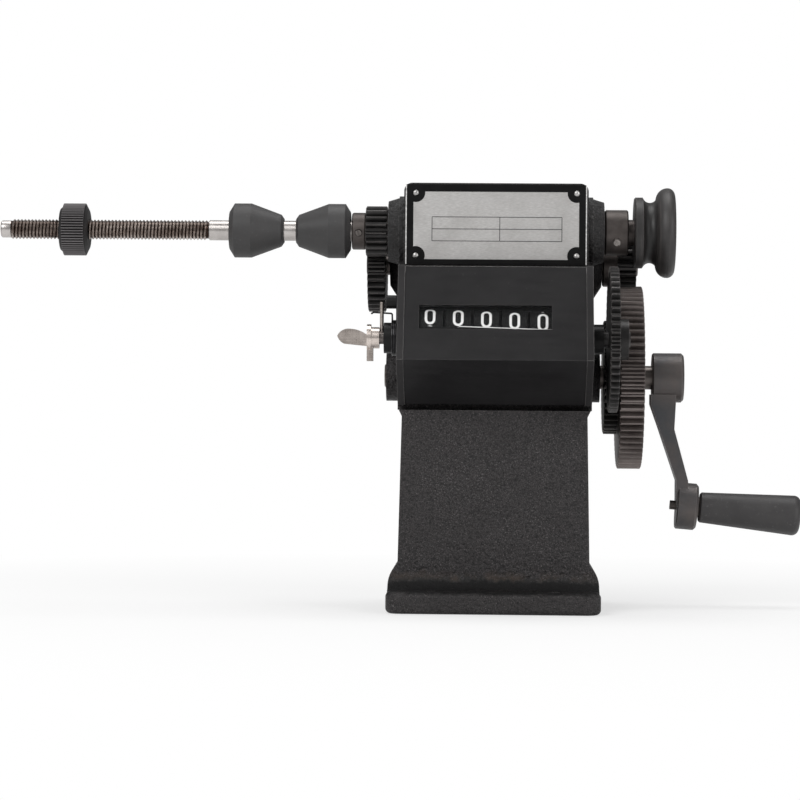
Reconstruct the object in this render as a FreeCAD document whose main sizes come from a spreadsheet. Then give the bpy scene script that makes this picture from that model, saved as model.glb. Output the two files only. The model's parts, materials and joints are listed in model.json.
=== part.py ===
import FreeCAD, Part
import math
import os
import re

import Sketcher

# Hand-cranked coil winding machine: a cast stand carries a threaded winding spindle,
# a step-up gear train turned by a crank, and a five-figure turns counter.
# Frame: millimetres, +X along the spindle towards the crank, -Y the front, +Z up,
# origin at the middle of the base's underside. Every shaft runs along X.

DOC = FreeCAD.newDocument("coil_winder")
SHEET = DOC.addObject("Spreadsheet::Sheet", "Sizes")
LAYOUT = DOC.addObject("App::VarSet", "Layout")
PARTS = []
X_AXIS = FreeCAD.Vector(1, 0, 0)
Y_AXIS = FreeCAD.Vector(0, 1, 0)

SIZES = {
    # where the shafts run
    "spindle_y": -12.0,
    "spindle_z": 187.3,
    "train_y": 18.0,
    "counter_y": -41.2,
    # gearing
    "gear_module": 1.25,
    "pressure_angle": 25.0,
    "tooth_thinning": 0.1,
    "tooth_chamfer": 0.8,
    "crank_gear_teeth": 72,
    "pinion_teeth": 18,
    "back_gear_teeth": 36,
    "spindle_gear_teeth": 18,
    "drive_gear_teeth": 44,
    "counter_gear_teeth": 55,
    "crank_gear_width": 12.0,
    "pinion_width": 9.5,
    "back_gear_width": 9.0,
    "spindle_gear_width": 10.75,
    "drive_gear_width": 7.2,
    "counter_gear_width": 4.6,
    # stand casting
    "base_depth": 120.0,
    "base_thickness": 10.5,
    "base_corner": 8.0,
    "base_edge": 2.5,
    "column_front": 37.0,
    "column_top_width": 91.0,
    "column_foot_width": 94.0,
    "foot_spread": 4.75,
    "foot_rise": 10.5,
    "foot_step": 2.0,
    "foot_inset": 0.5,
    "foot_front_radius": 8.0,
    "ledge_z": 98.5,
    "casting_wall": 7.0,
    "head_width": 96.0,
    "head_front": 23.5,
    "head_roof": 14.5,
    "back_foot": 50.0,
    "back_at_crank": 36.0,
    "boss_face": 53.5,
    "tube_radius": 17.5,
    "spindle_boss_radius": 15.0,
    "train_flare_radius": 21.0,
    "flare_step": 0.5,
    "train_boss_radius": 10.5,
    "crank_boss_radius": 12.75,
    "crank_boss_left": 55.0,
    "inner_boss": 6.0,
    "pad_width": 90.7,
    "pad_front": 31.0,
    "pad_thickness": 10.0,
    "pad_rise": 23.0,
    "pad_gap": 0.2,
    "pad_corner": 4.0,
    "bolt_spacing_x": 60.0,
    "bolt_spacing_y": 98.0,
    "bolt_hole": 7.0,
    # name plate
    "plate_margin": 0.8,
    "plate_thickness": 1.0,
    "rivet_inset_x": 5.0,
    "rivet_inset_z": 4.2,
    "rivet_head": 3.6,
    "rivet_head_height": 0.8,
    "rivet_shank": 2.4,
    "rivet_depth": 5.0,
    # bearings
    "running_gap": 0.04,
    "end_float": 0.5,
    "bush_wall": 3.0,
    "bush_length": 18.0,
    "crank_bush_length": 12.0,
    # spindle and what it carries
    "journal": 12.0,
    "arbor": 10.0,
    "arbor_length": 182.75,
    "arbor_tip": 8.5,
    "arbor_tip_length": 5.0,
    "small_chamfer": 0.6,
    "left_collar_width": 6.9,
    "left_collar_od": 18.4,
    "right_collar_width": 11.5,
    "right_collar_od": 22.6,
    "set_screw": 3.6,
    "set_screw_proud": 0.4,
    "left_screw_angle": 8.0,
    "right_screw_angle": 26.0,
    "lock_nut_width": 3.0,
    "lock_nut_od": 13.0,
    "pulley_width": 20.2,
    "pulley_flange": 35.2,
    "pulley_flange_width": 4.1,
    "belt_groove": 30.4,
    "belt_groove_width": 6.0,
    "belt_groove_radius": 3.6,
    "pulley_rim": 44.6,
    "rim_back_radius": 5.7,
    "rim_front_radius": 4.6,
    "cone_length": 27.2,
    "cone_od": 27.0,
    "cone_nose": 16.0,
    "cone_land": 8.4,
    "cone_back": 19.0,
    "cone_back_chamfer": 2.5,
    "cone_nose_chamfer": 1.4,
    "inner_cone_gap": 0.8,
    "cone_spacing": 6.0,
    "slide_gap": 0.05,
    "nut_place": 217.5,
    "nut_width": 14.0,
    "nut_od": 26.0,
    "nut_collar_od": 22.0,
    "nut_collar_width": 2.6,
    "nut_chamfer": 1.2,
    # countershaft
    "countershaft_od": 10.0,
    "hub_collar_od": 20.6,
    "hub_collar_width": 7.4,
    "shaft_end": 1.0,
    # crank
    "crank_shaft_od": 12.0,
    "crank_gear_place": 62.0,
    "shaft_ring_width": 7.0,
    "shaft_ring_od": 22.0,
    "crank_hub_place": 79.6,
    "crank_hub_od": 25.0,
    "crank_hub_width": 15.8,
    "crank_radius": 65.0,
    "arm_top_thickness": 12.5,
    "arm_waist_thickness": 7.5,
    "arm_foot_thickness": 5.9,
    "arm_waist_drop": 26.0,
    "arm_foot_drop": 52.0,
    "arm_waist_shift": 3.6,
    "arm_foot_shift": 12.4,
    "arm_top_breadth": 20.0,
    "arm_foot_breadth": 15.0,
    "crank_screw": 5.0,
    "handle_boss_od": 23.6,
    "handle_boss_width": 10.5,
    "handle_boss_place": 92.4,
    "handle_droop": 4.5,
    "handle_stub": 4.6,
    "handle_stub_length": 3.3,
    "handle_pin_od": 7.0,
    "handle_shoulder_od": 10.5,
    "handle_shoulder_width": 1.0,
    "grip_length": 51.0,
    "grip_small_od": 15.3,
    "grip_large_od": 20.2,
    "grip_end_radius": 3.5,
    "grip_edge": 0.8,
    "grip_recess": 5.0,
    "grip_recess_od": 12.4,
    "pin_head_height": 2.5,
    # turns counter
    "counter_width": 95.0,
    "end_plate": 3.4,
    "end_plate_margin": 0.5,
    "cover_wall": 1.8,
    "cover_bottom": 101.5,
    "cover_top": 168.8,
    "cover_top_front": 43.9,
    "cover_bottom_front": 38.0,
    "crease_front": 68.3,
    "crease_z": 122.8,
    "window_x": -4.8,
    "window_width": 64.2,
    "window_height": 13.3,
    "window_along": 28.4,
    "pane_recess": 0.4,
    "pane_thickness": 1.0,
    "pane_gap": 0.05,
    "wheel_od": 33.0,
    "wheel_pitch": 13.65,
    "wheel_width": 12.3,
    "wheel_mid_x": -4.3,
    "wheel_rim": 2.4,
    "wheel_web": 2.4,
    "wheel_hub_od": 11.0,
    "counter_shaft_od": 8.0,
    "reset_shaft_od": 6.0,
    "shaft_bar": 3.0,
    "shaft_bar_drop": 20.0,
    "carry_plate": 0.6,
    "carry_plate_od": 26.0,
    "carry_pinion_od": 7.4,
    "carry_pinion_width": 3.0,
    "carry_pinion_drop": 10.0,
    "right_boss_od": 14.6,
    "right_boss_reach": 52.8,
    "left_boss_od": 15.0,
    "left_boss_length": 6.8,
    "gear_hub_od": 20.0,
    "gear_hub_width": 5.1,
    "spring_post_od": 6.6,
    "spring_post_length": 5.8,
    "spring_post_rise": 17.6,
    "lug_side": 6.0,
    "lug_length": 6.0,
    "lug_screw": 3.0,
    "lug_screw_head": 5.5,
    "lug_screw_head_height": 3.0,
    # reset knob
    "reset_pin_od": 1.9,
    "reset_pin_reach": 17.5,
    "wing_hub_od": 10.4,
    "wing_hub_width": 6.0,
    "wing_hub_gap": 2.3,
    "wing_disc_od": 13.2,
    "wing_disc_width": 2.0,
    "wing_reach": 15.6,
    "wing_root_top": 0.6,
    "wing_root_bottom": 4.2,
    "wing_crown": 4.4,
    "wing_crown_place": 9.6,
    "wing_tip_rise": 0.9,
    "wing_belly": 3.0,
    "wing_belly_place": 12.2,
    "wing_thickness": 2.0,
    "tail_length": 11.4,
    "tail_width": 3.0,
    "tail_breadth": 7.0,
    "spring_wire": 0.9,
    "spring_turns": 3,
    "spring_hook_rise": 12.5,
    "spring_hook_length": 8.5,
}

# Places and radii that follow from the sizes above.
WORKED_OUT = {
    "base_width": "column_foot_width + 2 * (foot_spread + foot_inset)",
    "pad_top": "spindle_z + pad_rise",
    "pad_bottom": "cover_top + end_plate_margin + pad_gap",
    "plate_width": "pad_width - 2 * plate_margin",
    "plate_height": "pad_top - pad_bottom - 2 * plate_margin",
    "plate_z": "(pad_top + pad_bottom) / 2",
    "countershaft_distance": "gear_module * (back_gear_teeth + spindle_gear_teeth) / 2",
    "countershaft_z": "spindle_z - sqrt(countershaft_distance^2 - (train_y - spindle_y)^2)",
    "crank_distance": "gear_module * (crank_gear_teeth + pinion_teeth) / 2",
    "crank_z": "countershaft_z - crank_distance",
    "counter_distance": "gear_module * (drive_gear_teeth + counter_gear_teeth) / 2",
    "counter_z": "crank_z + sqrt(counter_distance^2 - (train_y - counter_y)^2)",
    "head_lean_y": "(spindle_z - countershaft_z) / countershaft_distance",
    "head_lean_z": "(train_y - spindle_y) / countershaft_distance",
    "spindle_bush_od": "journal + 2 * bush_wall",
    "countershaft_bush_od": "countershaft_od + 2 * bush_wall",
    "crank_bush_od": "crank_shaft_od + 2 * bush_wall",
    "arbor_end_x": "-boss_face - end_float - spindle_gear_width",
    "right_collar_x": "boss_face + end_float",
    "lock_nut_x": "right_collar_x + right_collar_width",
    "pulley_x": "lock_nut_x + lock_nut_width",
    "back_gear_x": "-boss_face - end_float - 1.5 - back_gear_width",
    "hub_collar_x": "boss_face + end_float",
    "pinion_x": "hub_collar_x + hub_collar_width",
    "drive_gear_x": "crank_gear_place - drive_gear_width",
    "counter_gear_x": "drive_gear_x + 0.4",
    "handle_z": "crank_z - crank_radius",
    "handle_x": "handle_boss_place + handle_boss_width / 2",
    "face_length": "sqrt((crease_front - cover_top_front)^2 + (cover_top - crease_z)^2)",
    "face_y": "(cover_top_front - crease_front) / face_length",
    "face_z": "(crease_z - cover_top) / face_length",
    "window_y": "-cover_top_front + face_y * window_along",
    "window_z": "cover_top + face_z * window_along",
    "left_boss_reach": "counter_width / 2 + left_boss_length",
    "reset_shaft_end": "wheel_mid_x + 1.5 * wheel_pitch",
    "inner_cone_x": "arbor_end_x - left_collar_width - inner_cone_gap",
    "outer_cone_x": "inner_cone_x - 2 * cone_length - cone_spacing",
    "lug_place": "column_top_width / 2 - casting_wall - lug_screw_head / 2 - 1",
    "lug_reach": "counter_width / 2 - end_plate - lug_place + lug_side / 2",
    "spring_radius": "left_boss_od / 2 + spring_wire",
    "ring_x": "column_top_width / 2 - casting_wall - inner_boss - shaft_ring_width - 0.3",
}


# ---------------------------------------------------------------- formulas and the sheet

def expression(formula):
    """Point each bare name in a formula at the sheet or at the worked-out layout."""
    def owned(match):
        word = match.group(0)
        if word in SIZES:
            return "Sizes." + word
        if word in WORKED_OUT:
            return "Layout." + word
        return word
    return re.sub(r"[A-Za-z_]\w*", owned, str(formula))


def value(formula):
    """The number that a formula gives now."""
    return float(SHEET.evalExpression(expression(formula)))


def bind(feature, **formulas):
    """Bind properties to formulas; a double underscore stands for the dot in a path."""
    for name, formula in formulas.items():
        feature.setExpression(name.replace("__", "."), expression(formula))


def place(feature, x="0", y="0", z="0"):
    bind(feature, Placement__Base__x=x, Placement__Base__y=y, Placement__Base__z=z)


def fill_sheet():
    for row, (alias, number) in enumerate(SIZES.items(), start=1):
        SHEET.set(f"A{row}", alias)
        SHEET.set(f"B{row}", str(number))
        SHEET.setAlias(f"B{row}", alias)
    DOC.recompute()
    for name, formula in WORKED_OUT.items():
        LAYOUT.addProperty("App::PropertyFloat", name)
        LAYOUT.setExpression(name, expression(formula))
    DOC.recompute()


def keep(feature, label):
    """Name a finished sub-part and put it on the list to write out."""
    feature.Label = label
    PARTS.append(feature)
    return feature


# ---------------------------------------------------------------- sketched features

def end_of(sketch, edge, point):
    """Which end of an edge, 1 or 2, lies at a point."""
    return 1 if sketch.getPoint(edge, 1).distanceToPoint(point) < 1e-6 else 2


def arc_through(start, end, radius, side):
    """The shorter arc from start to end; side +1 bulges to the right of the way."""
    chord = end - start
    half = chord.Length / 2
    rise = radius - math.sqrt(max(radius * radius - half * half, 0.0))
    right = FreeCAD.Vector(chord.y, -chord.x, 0).normalize()
    return Part.Arc(start, (start + end) * 0.5 + right * (side * rise), end)


def outline(body, plane, corners):
    """A closed outline, fully constrained. A corner is (across, up) or
    (across, up, radius, side), where the way to that corner is an arc."""
    sketch = body.newObject("Sketcher::SketchObject", body.Name + "_outline")
    origin_plane = next(item for item in body.Origin.OriginFeatures if item.Role == plane)
    sketch.AttachmentSupport = (origin_plane, [""])
    sketch.MapMode = "FlatFace"
    points = [FreeCAD.Vector(value(corner[0]), value(corner[1]), 0) for corner in corners]
    count = len(corners)
    for index in range(count):
        start, end, corner = points[index], points[(index + 1) % count], corners[(index + 1) % count]
        if len(corner) == 4:
            sketch.addGeometry(arc_through(start, end, value(corner[2]), corner[3]))
        else:
            sketch.addGeometry(Part.LineSegment(start, end))
    for index, corner in enumerate(corners):
        before = (index - 1) % count
        start = end_of(sketch, index, points[index])
        finish = end_of(sketch, before, points[index])
        sketch.addConstraint(Sketcher.Constraint("Coincident", before, finish, index, start))
        for kind, formula, number in (("DistanceX", corner[0], points[index].x),
                                      ("DistanceY", corner[1], points[index].y)):
            held = sketch.addConstraint(Sketcher.Constraint(kind, -1, 1, index, start, number))
            sketch.setExpression(f"Constraints[{held}]", expression(formula))
        if len(corner) == 4:
            held = sketch.addConstraint(Sketcher.Constraint("Radius", before, value(corner[2])))
            sketch.setExpression(f"Constraints[{held}]", expression(corner[2]))
    return sketch


def turned(name, corners, x="0", y="0", z="0"):
    """A lathe part: (along, radius) corners revolved about the body's own X axis."""
    body = DOC.addObject("PartDesign::Body", name)
    revolved = body.newObject("PartDesign::Revolution", name + "_turned")
    revolved.Profile = outline(body, "XY_Plane", corners)
    revolved.ReferenceAxis = (revolved.Profile[0], ["H_Axis"])
    revolved.Angle = 360
    body.Tip = revolved
    place(body, x, y, z)
    return body


def slab(name, plane, corners, length, x="0", y="0", z="0", symmetric=False):
    """A plate: an outline on one of the body's planes, padded by a length."""
    body = DOC.addObject("PartDesign::Body", name)
    pad = body.newObject("PartDesign::Pad", name + "_pad")
    pad.Profile = outline(body, plane, corners)
    bind(pad, Length=length)
    if symmetric:
        pad.SideType = "Symmetric"
    body.Tip = pad
    place(body, x, y, z)
    return body


def edges_of(feature, wanted):
    """Names of a feature's edges that a test picks by their two ends."""
    names = []
    for index, edge in enumerate(feature.Shape.Edges, start=1):
        ends = [vertex.Point for vertex in edge.Vertexes]
        if wanted(ends[0], ends[-1]):
            names.append(f"Edge{index}")
    return names


def rounded(body, radius, wanted):
    """Round the picked edges of a body's last feature."""
    DOC.recompute()
    base = body.Tip
    fillet = body.newObject("PartDesign::Fillet", body.Name + "_round")
    fillet.Base = (base, edges_of(base, wanted))
    bind(fillet, Radius=radius)
    body.Tip = fillet
    return body


# ---------------------------------------------------------------- solid primitives and booleans

def rod(name, radius, length, x="0", y="0", z="0"):
    """A cylinder along X."""
    cylinder = DOC.addObject("Part::Cylinder", name)
    bind(cylinder, Radius=radius, Height=length)
    cylinder.Placement.Rotation = FreeCAD.Rotation(Y_AXIS, 90)
    place(cylinder, x, y, z)
    return cylinder


def flare(name, wide, narrow, length, x, y, z, direction):
    """A cone along X that narrows away from the wall it stands on."""
    cone = DOC.addObject("Part::Cone", name)
    bind(cone, Radius1=wide, Radius2=narrow, Height=length)
    cone.Placement.Rotation = FreeCAD.Rotation(Y_AXIS, 90 * direction)
    place(cone, x, y, z)
    return cone


def post(name, radius, length, x, y, z, turn=90):
    """A cylinder that points back along +Y at a turn of -90 and forward at +90."""
    cylinder = DOC.addObject("Part::Cylinder", name)
    bind(cylinder, Radius=radius, Height=length)
    cylinder.Placement.Rotation = FreeCAD.Rotation(X_AXIS, turn)
    place(cylinder, x, y, z)
    return cylinder


def spoke(name, radius, start, length, x, y, z, below_front):
    """A cylinder that stands out of an X axis, pointing forward and below by an angle."""
    cylinder = DOC.addObject("Part::Cylinder", name)
    bind(cylinder, Radius=radius, Height=length)
    cylinder.Placement.Rotation = FreeCAD.Rotation(X_AXIS, 90)
    bind(cylinder, Placement__Rotation__Angle=f"90 + {below_front}")
    place(cylinder, x, f"{y} - ({start}) * cos({below_front})", f"{z} - ({start}) * sin({below_front})")
    return cylinder


def box(name, size_x, size_y, size_z, x, y, z):
    block = DOC.addObject("Part::Box", name)
    bind(block, Length=size_x, Width=size_y, Height=size_z)
    place(block, x, y, z)
    return block


def joined(name, pieces):
    union = DOC.addObject("Part::MultiFuse", name)
    union.Shapes = pieces
    union.Refine = True
    return union


def cut(name, base, tools):
    difference = DOC.addObject("Part::Cut", name)
    difference.Base = base
    difference.Tool = tools[0] if len(tools) == 1 else joined(name + "_tools", tools)
    return difference


def group(name, pieces):
    """Several separate solids in one node."""
    together = DOC.addObject("Part::Compound", name)
    together.Links = pieces
    return together


# ---------------------------------------------------------------- gears

def involute(angle):
    return math.tan(angle) - angle


def gear_outline(teeth):
    """One closed wire of involute teeth; the first tooth is centred on the first axis."""
    module = value("gear_module")
    pressure = math.radians(value("pressure_angle"))
    pitch_radius = module * teeth / 2
    base_radius = pitch_radius * math.cos(pressure)
    tip_radius = pitch_radius + module
    root_radius = pitch_radius - 1.25 * module
    half_tooth = math.pi / (2 * teeth) - value("tooth_thinning") / (2 * pitch_radius) + involute(pressure)
    start_radius = max(base_radius, root_radius)

    def flank_angle(radius):
        return half_tooth - involute(math.acos(min(base_radius / radius, 1.0)))

    def at(radius, angle):
        return FreeCAD.Vector(0, radius * math.cos(angle), radius * math.sin(angle))

    edges = []
    pitch_angle = 2 * math.pi / teeth
    middle_radius = (start_radius + tip_radius) / 2
    for tooth in range(teeth):
        centre = tooth * pitch_angle
        rising = [at(radius, centre - flank_angle(radius)) for radius in (start_radius, middle_radius, tip_radius)]
        falling = [at(radius, centre + flank_angle(radius)) for radius in (tip_radius, middle_radius, start_radius)]
        root_in = at(root_radius, centre - flank_angle(start_radius))
        root_out = at(root_radius, centre + flank_angle(start_radius))
        next_root = at(root_radius, centre + pitch_angle - flank_angle(start_radius))
        if base_radius > root_radius:
            edges.append(Part.makeLine(root_in, rising[0]))
        edges.append(Part.Arc(*rising).toShape())
        edges.append(Part.Arc(rising[2], at(tip_radius, centre), falling[0]).toShape())
        edges.append(Part.Arc(*falling).toShape())
        if base_radius > root_radius:
            edges.append(Part.makeLine(falling[2], root_out))
        edges.append(Part.Arc(root_out, at(root_radius, centre + pitch_angle / 2), next_root).toShape())
    return Part.Wire(edges)


def toothed_disc(teeth, width, bore_radius, phase_degrees):
    """A spur gear from x = 0 to its width, its tooth ends chamfered."""
    tip_radius = value("gear_module") * (teeth / 2 + 1)
    bevel = value("tooth_chamfer")
    disc = Part.Face(gear_outline(teeth)).extrude(FreeCAD.Vector(width, 0, 0))
    disc.rotate(FreeCAD.Vector(0, 0, 0), X_AXIS, phase_degrees)
    profile = [(0, 0), (0, tip_radius - bevel), (bevel / 2, tip_radius + 0.01),
               (width - bevel / 2, tip_radius + 0.01), (width, tip_radius - bevel), (width, 0)]
    corners = [FreeCAD.Vector(along, radius, 0) for along, radius in profile]
    blank = Part.Face(Part.makePolygon(corners + corners[:1])).revolve(FreeCAD.Vector(0, 0, 0), X_AXIS, 360)
    bore = Part.makeCylinder(bore_radius, width, FreeCAD.Vector(0, 0, 0), X_AXIS)
    return disc.common(blank).cut(bore)


def gear(label, teeth, width, bore, x, y, z, phase, pieces_on=(), cuts=()):
    """A gear node: its teeth, with a hub or other lathe shapes joined on and holes cut."""
    feature = DOC.addObject("Part::Feature", label)
    shape = toothed_disc(int(round(value(teeth))), value(width), value(bore) / 2, phase)
    for piece in pieces_on:
        shape = shape.fuse(piece)
    for piece in cuts:
        shape = shape.cut(piece)
    feature.Shape = shape.removeSplitter()
    place(feature, x, y, z)
    return keep(feature, label)


def mesh_phase(driver_phase, driver_teeth, driven_teeth, direction):
    """The driven gear's first-tooth angle that puts it in mesh with its driver."""
    offset = driver_phase - direction
    return direction + 180 - offset * driver_teeth / driven_teeth + 180 / driven_teeth


def direction_between(y_from, z_from, y_to, z_to):
    return math.degrees(math.atan2(value(z_to) - value(z_from), value(y_to) - value(y_from)))


# ---------------------------------------------------------------- stand

def casting_core():
    """The hollow column and head: the side outline, trimmed to the front outline."""
    body = slab("stand_core", "YZ_Plane", [
        ("-column_front - foot_front_radius", "base_thickness / 2"),
        ("-column_front - foot_front_radius", "base_thickness"),
        ("-column_front", "base_thickness + foot_front_radius", "foot_front_radius", 1),
        ("-column_front", "ledge_z"),
        ("-head_front", "ledge_z"),
        ("-head_front", "pad_bottom"),
        ("-pad_front", "pad_bottom"),
        ("-pad_front", "pad_top"),
        ("-pad_front + pad_thickness", "pad_top"),
        ("-pad_front + pad_thickness", "spindle_z"),
        ("spindle_y + (tube_radius - flare_step) * head_lean_y", "spindle_z + (tube_radius - flare_step) * head_lean_z"),
        ("train_y + train_flare_radius * head_lean_y", "countershaft_z + train_flare_radius * head_lean_z"),
        ("train_y + train_flare_radius", "countershaft_z", "train_flare_radius", -1),
        ("back_at_crank", "crank_z"),
        ("back_foot", "base_thickness"),
        ("back_foot", "base_thickness / 2"),
    ], "base_width", symmetric=True)
    pocket(body, "XZ_Plane", [
        ("column_foot_width / 2 + foot_spread", "base_thickness / 2"),
        ("column_foot_width / 2 + foot_spread", "base_thickness + foot_step"),
        ("column_foot_width / 2", "base_thickness + foot_step + foot_rise",
         "foot_rise^2 / foot_spread / 2 + foot_spread / 2", 1),
        ("column_top_width / 2", "ledge_z - 3"),
        ("head_width / 2 - 1", "ledge_z"),
        ("head_width / 2", "ledge_z"),
        ("head_width / 2", "pad_top + 1"),
        ("base_width", "pad_top + 1"),
        ("base_width", "base_thickness / 2"),
    ], mirrored=True)
    return body


def pocket(body, plane, corners, mirrored=False):
    """Cut an outline right through a body, and its mirror image if asked."""
    for side in (1, -1) if mirrored else (1,):
        turned_corners = corners if side == 1 else [
            (f"-({corner[0]})", *corner[1:3], -corner[3]) if len(corner) == 4
            else (f"-({corner[0]})", corner[1]) for corner in corners]
        hole = body.newObject("PartDesign::Pocket", body.Name + "_pocket")
        hole.Profile = outline(body, plane, turned_corners)
        hole.Type = "ThroughAll"
        hole.SideType = "Symmetric"
        body.Tip = hole


def casting_hollow():
    """The space between the side walls, open at the back."""
    return slab("stand_hollow", "YZ_Plane", [
        ("-column_front + casting_wall", "base_thickness"),
        ("-column_front + casting_wall", "ledge_z - casting_wall - head_front / 2 + casting_wall / 2"),
        ("-head_front + casting_wall", "ledge_z - casting_wall / 2"),
        ("-head_front + casting_wall", "countershaft_z - head_roof"),
        ("back_foot + casting_wall", "countershaft_z - head_roof"),
        ("back_foot + casting_wall", "base_thickness"),
    ], "column_top_width - 2 * casting_wall", symmetric=True)


def make_stand():
    base = slab("base_flange", "XY_Plane", [
        ("-base_width / 2", "-base_depth / 2"), ("base_width / 2", "-base_depth / 2"),
        ("base_width / 2", "base_depth / 2"), ("-base_width / 2", "base_depth / 2"),
    ], "base_thickness")
    rounded(base, "base_corner", lambda one, two: abs(one.z - two.z) > 1)
    rounded(base, "base_edge", lambda one, two: abs(one.z - two.z) < 0.01)

    pad = slab("plate_pad", "XZ_Plane", [
        ("-pad_width / 2", "pad_bottom"), ("pad_width / 2", "pad_bottom"),
        ("pad_width / 2", "pad_top"), ("-pad_width / 2", "pad_top"),
    ], "pad_thickness", y="-pad_front + pad_thickness")
    rounded(pad, "pad_corner", lambda one, two: abs(one.y - two.y) > 1 and one.z > value("pad_top") - 1)

    corner_cut = box("head_trim", "head_width + 2", "pad_thickness + 1", "pad_top - pad_bottom + 2",
                     "-head_width / 2 - 1", "-pad_front - 1", "pad_bottom")
    core = cut("core_behind_pad", cut("hollow_core", casting_core(), [casting_hollow()]), [corner_cut])

    solids = [base, core, pad,
              rod("spindle_tube", "tube_radius", "head_width", "-head_width / 2", "spindle_y", "spindle_z")]
    for side, direction in (("left", -1), ("right", 1)):
        wall = f"{direction} * (head_width / 2 - 1)"
        reach = "boss_face - head_width / 2 + 1"
        solids.append(flare(f"spindle_boss_{side}", "tube_radius - flare_step", "spindle_boss_radius", reach,
                            wall, "spindle_y", "spindle_z", direction))
        solids.append(flare(f"train_boss_{side}", "train_flare_radius - flare_step", "train_boss_radius", reach,
                            wall, "train_y", "countershaft_z", direction))
    inner_face = "column_top_width / 2 - casting_wall - inner_boss"
    solids.append(rod("crank_boss_left", "crank_boss_radius", f"crank_boss_left - ({inner_face})",
                      "-crank_boss_left", "train_y", "crank_z"))
    solids.append(rod("crank_boss_right", "crank_boss_radius", f"boss_face - 0.5 - ({inner_face})",
                      inner_face, "train_y", "crank_z"))

    far = "4 * boss_face"
    holes = [
        rod("spindle_bore", "spindle_bush_od / 2", far, "-2 * boss_face", "spindle_y", "spindle_z"),
        rod("countershaft_bore", "countershaft_bush_od / 2", far, "-2 * boss_face", "train_y", "countershaft_z"),
        rod("crank_bore", "crank_bush_od / 2", far, "-2 * boss_face", "train_y", "crank_z"),
    ]
    for across in (-1, 1):
        for along in (-1, 1):
            hole = DOC.addObject("Part::Cylinder", "bolt_hole")
            bind(hole, Radius="bolt_hole / 2", Height="2 * base_thickness")
            place(hole, f"{across} * bolt_spacing_x / 2", f"{along} * bolt_spacing_y / 2", "-base_thickness / 2")
            holes.append(hole)
    for x, z in rivet_places():
        holes.append(post("rivet_hole", "rivet_shank / 2", "rivet_depth", x, "-pad_front + rivet_depth", z))
    for x, z in lug_places():
        holes.append(post("lug_screw_hole", "lug_screw / 2", "2 * casting_wall", x, "-head_front + 1.5 * casting_wall", z))
    keep(cut("stand_casting", joined("stand_solids", solids), holes), "stand_casting")


def rivet_places():
    return [(f"{across} * (plate_width / 2 - rivet_inset_x)", f"plate_z + {up} * (plate_height / 2 - rivet_inset_z)")
            for across in (-1, 1) for up in (-1, 1)]


def lug_places():
    """Where the counter's four fixing screws pass through the head's front wall."""
    return [(f"{across} * lug_place", z) for across in (-1, 1)
            for z in ("cover_bottom + cover_wall + lug_side / 2 + 1", "countershaft_z - head_roof - lug_side")]


def make_name_plate():
    plate = slab("plate_blank", "XZ_Plane", [
        ("-plate_width / 2", "plate_z - plate_height / 2"), ("plate_width / 2", "plate_z - plate_height / 2"),
        ("plate_width / 2", "plate_z + plate_height / 2"), ("-plate_width / 2", "plate_z + plate_height / 2"),
    ], "plate_thickness", y="-pad_front")
    front = "-pad_front - plate_thickness"
    holes = [post("plate_hole", "rivet_shank / 2", "3 * plate_thickness", x, "-pad_front + plate_thickness", z)
             for x, z in rivet_places()]
    keep(cut("name_plate", plate, holes), "name_plate")
    rivets = []
    for x, z in rivet_places():
        head = post("rivet_head", "rivet_head / 2", "rivet_head_height", x, front, z)
        shank = post("rivet_shank", "rivet_shank / 2", "rivet_depth + plate_thickness", x,
                     "-pad_front + rivet_depth", z)
        rivets.append(joined("rivet", [head, shank]))
    keep(group("plate_rivets", rivets), "plate_rivets")


def make_bushes():
    lines = {
        "spindle": ("journal", "spindle_bush_od", "bush_length", "boss_face", "boss_face", "spindle_y", "spindle_z"),
        "countershaft": ("countershaft_od", "countershaft_bush_od", "bush_length", "boss_face", "boss_face",
                         "train_y", "countershaft_z"),
        "crank": ("crank_shaft_od", "crank_bush_od", "crank_bush_length", "crank_boss_left", "boss_face - 0.5",
                  "train_y", "crank_z"),
    }
    for line, (shaft, outside, length, left, right, y, z) in lines.items():
        for side, start in (("left", f"-({left})"), ("right", f"{right} - {length}")):
            ring = turned(f"{line}_bush_{side}", [
                ("0", f"{shaft} / 2 + running_gap"), ("0", f"{outside} / 2"),
                (length, f"{outside} / 2"), (length, f"{shaft} / 2 + running_gap"),
            ], start, y, z)
            keep(ring, f"{line}_bush_{side}")


# ---------------------------------------------------------------- spindle line

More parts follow.
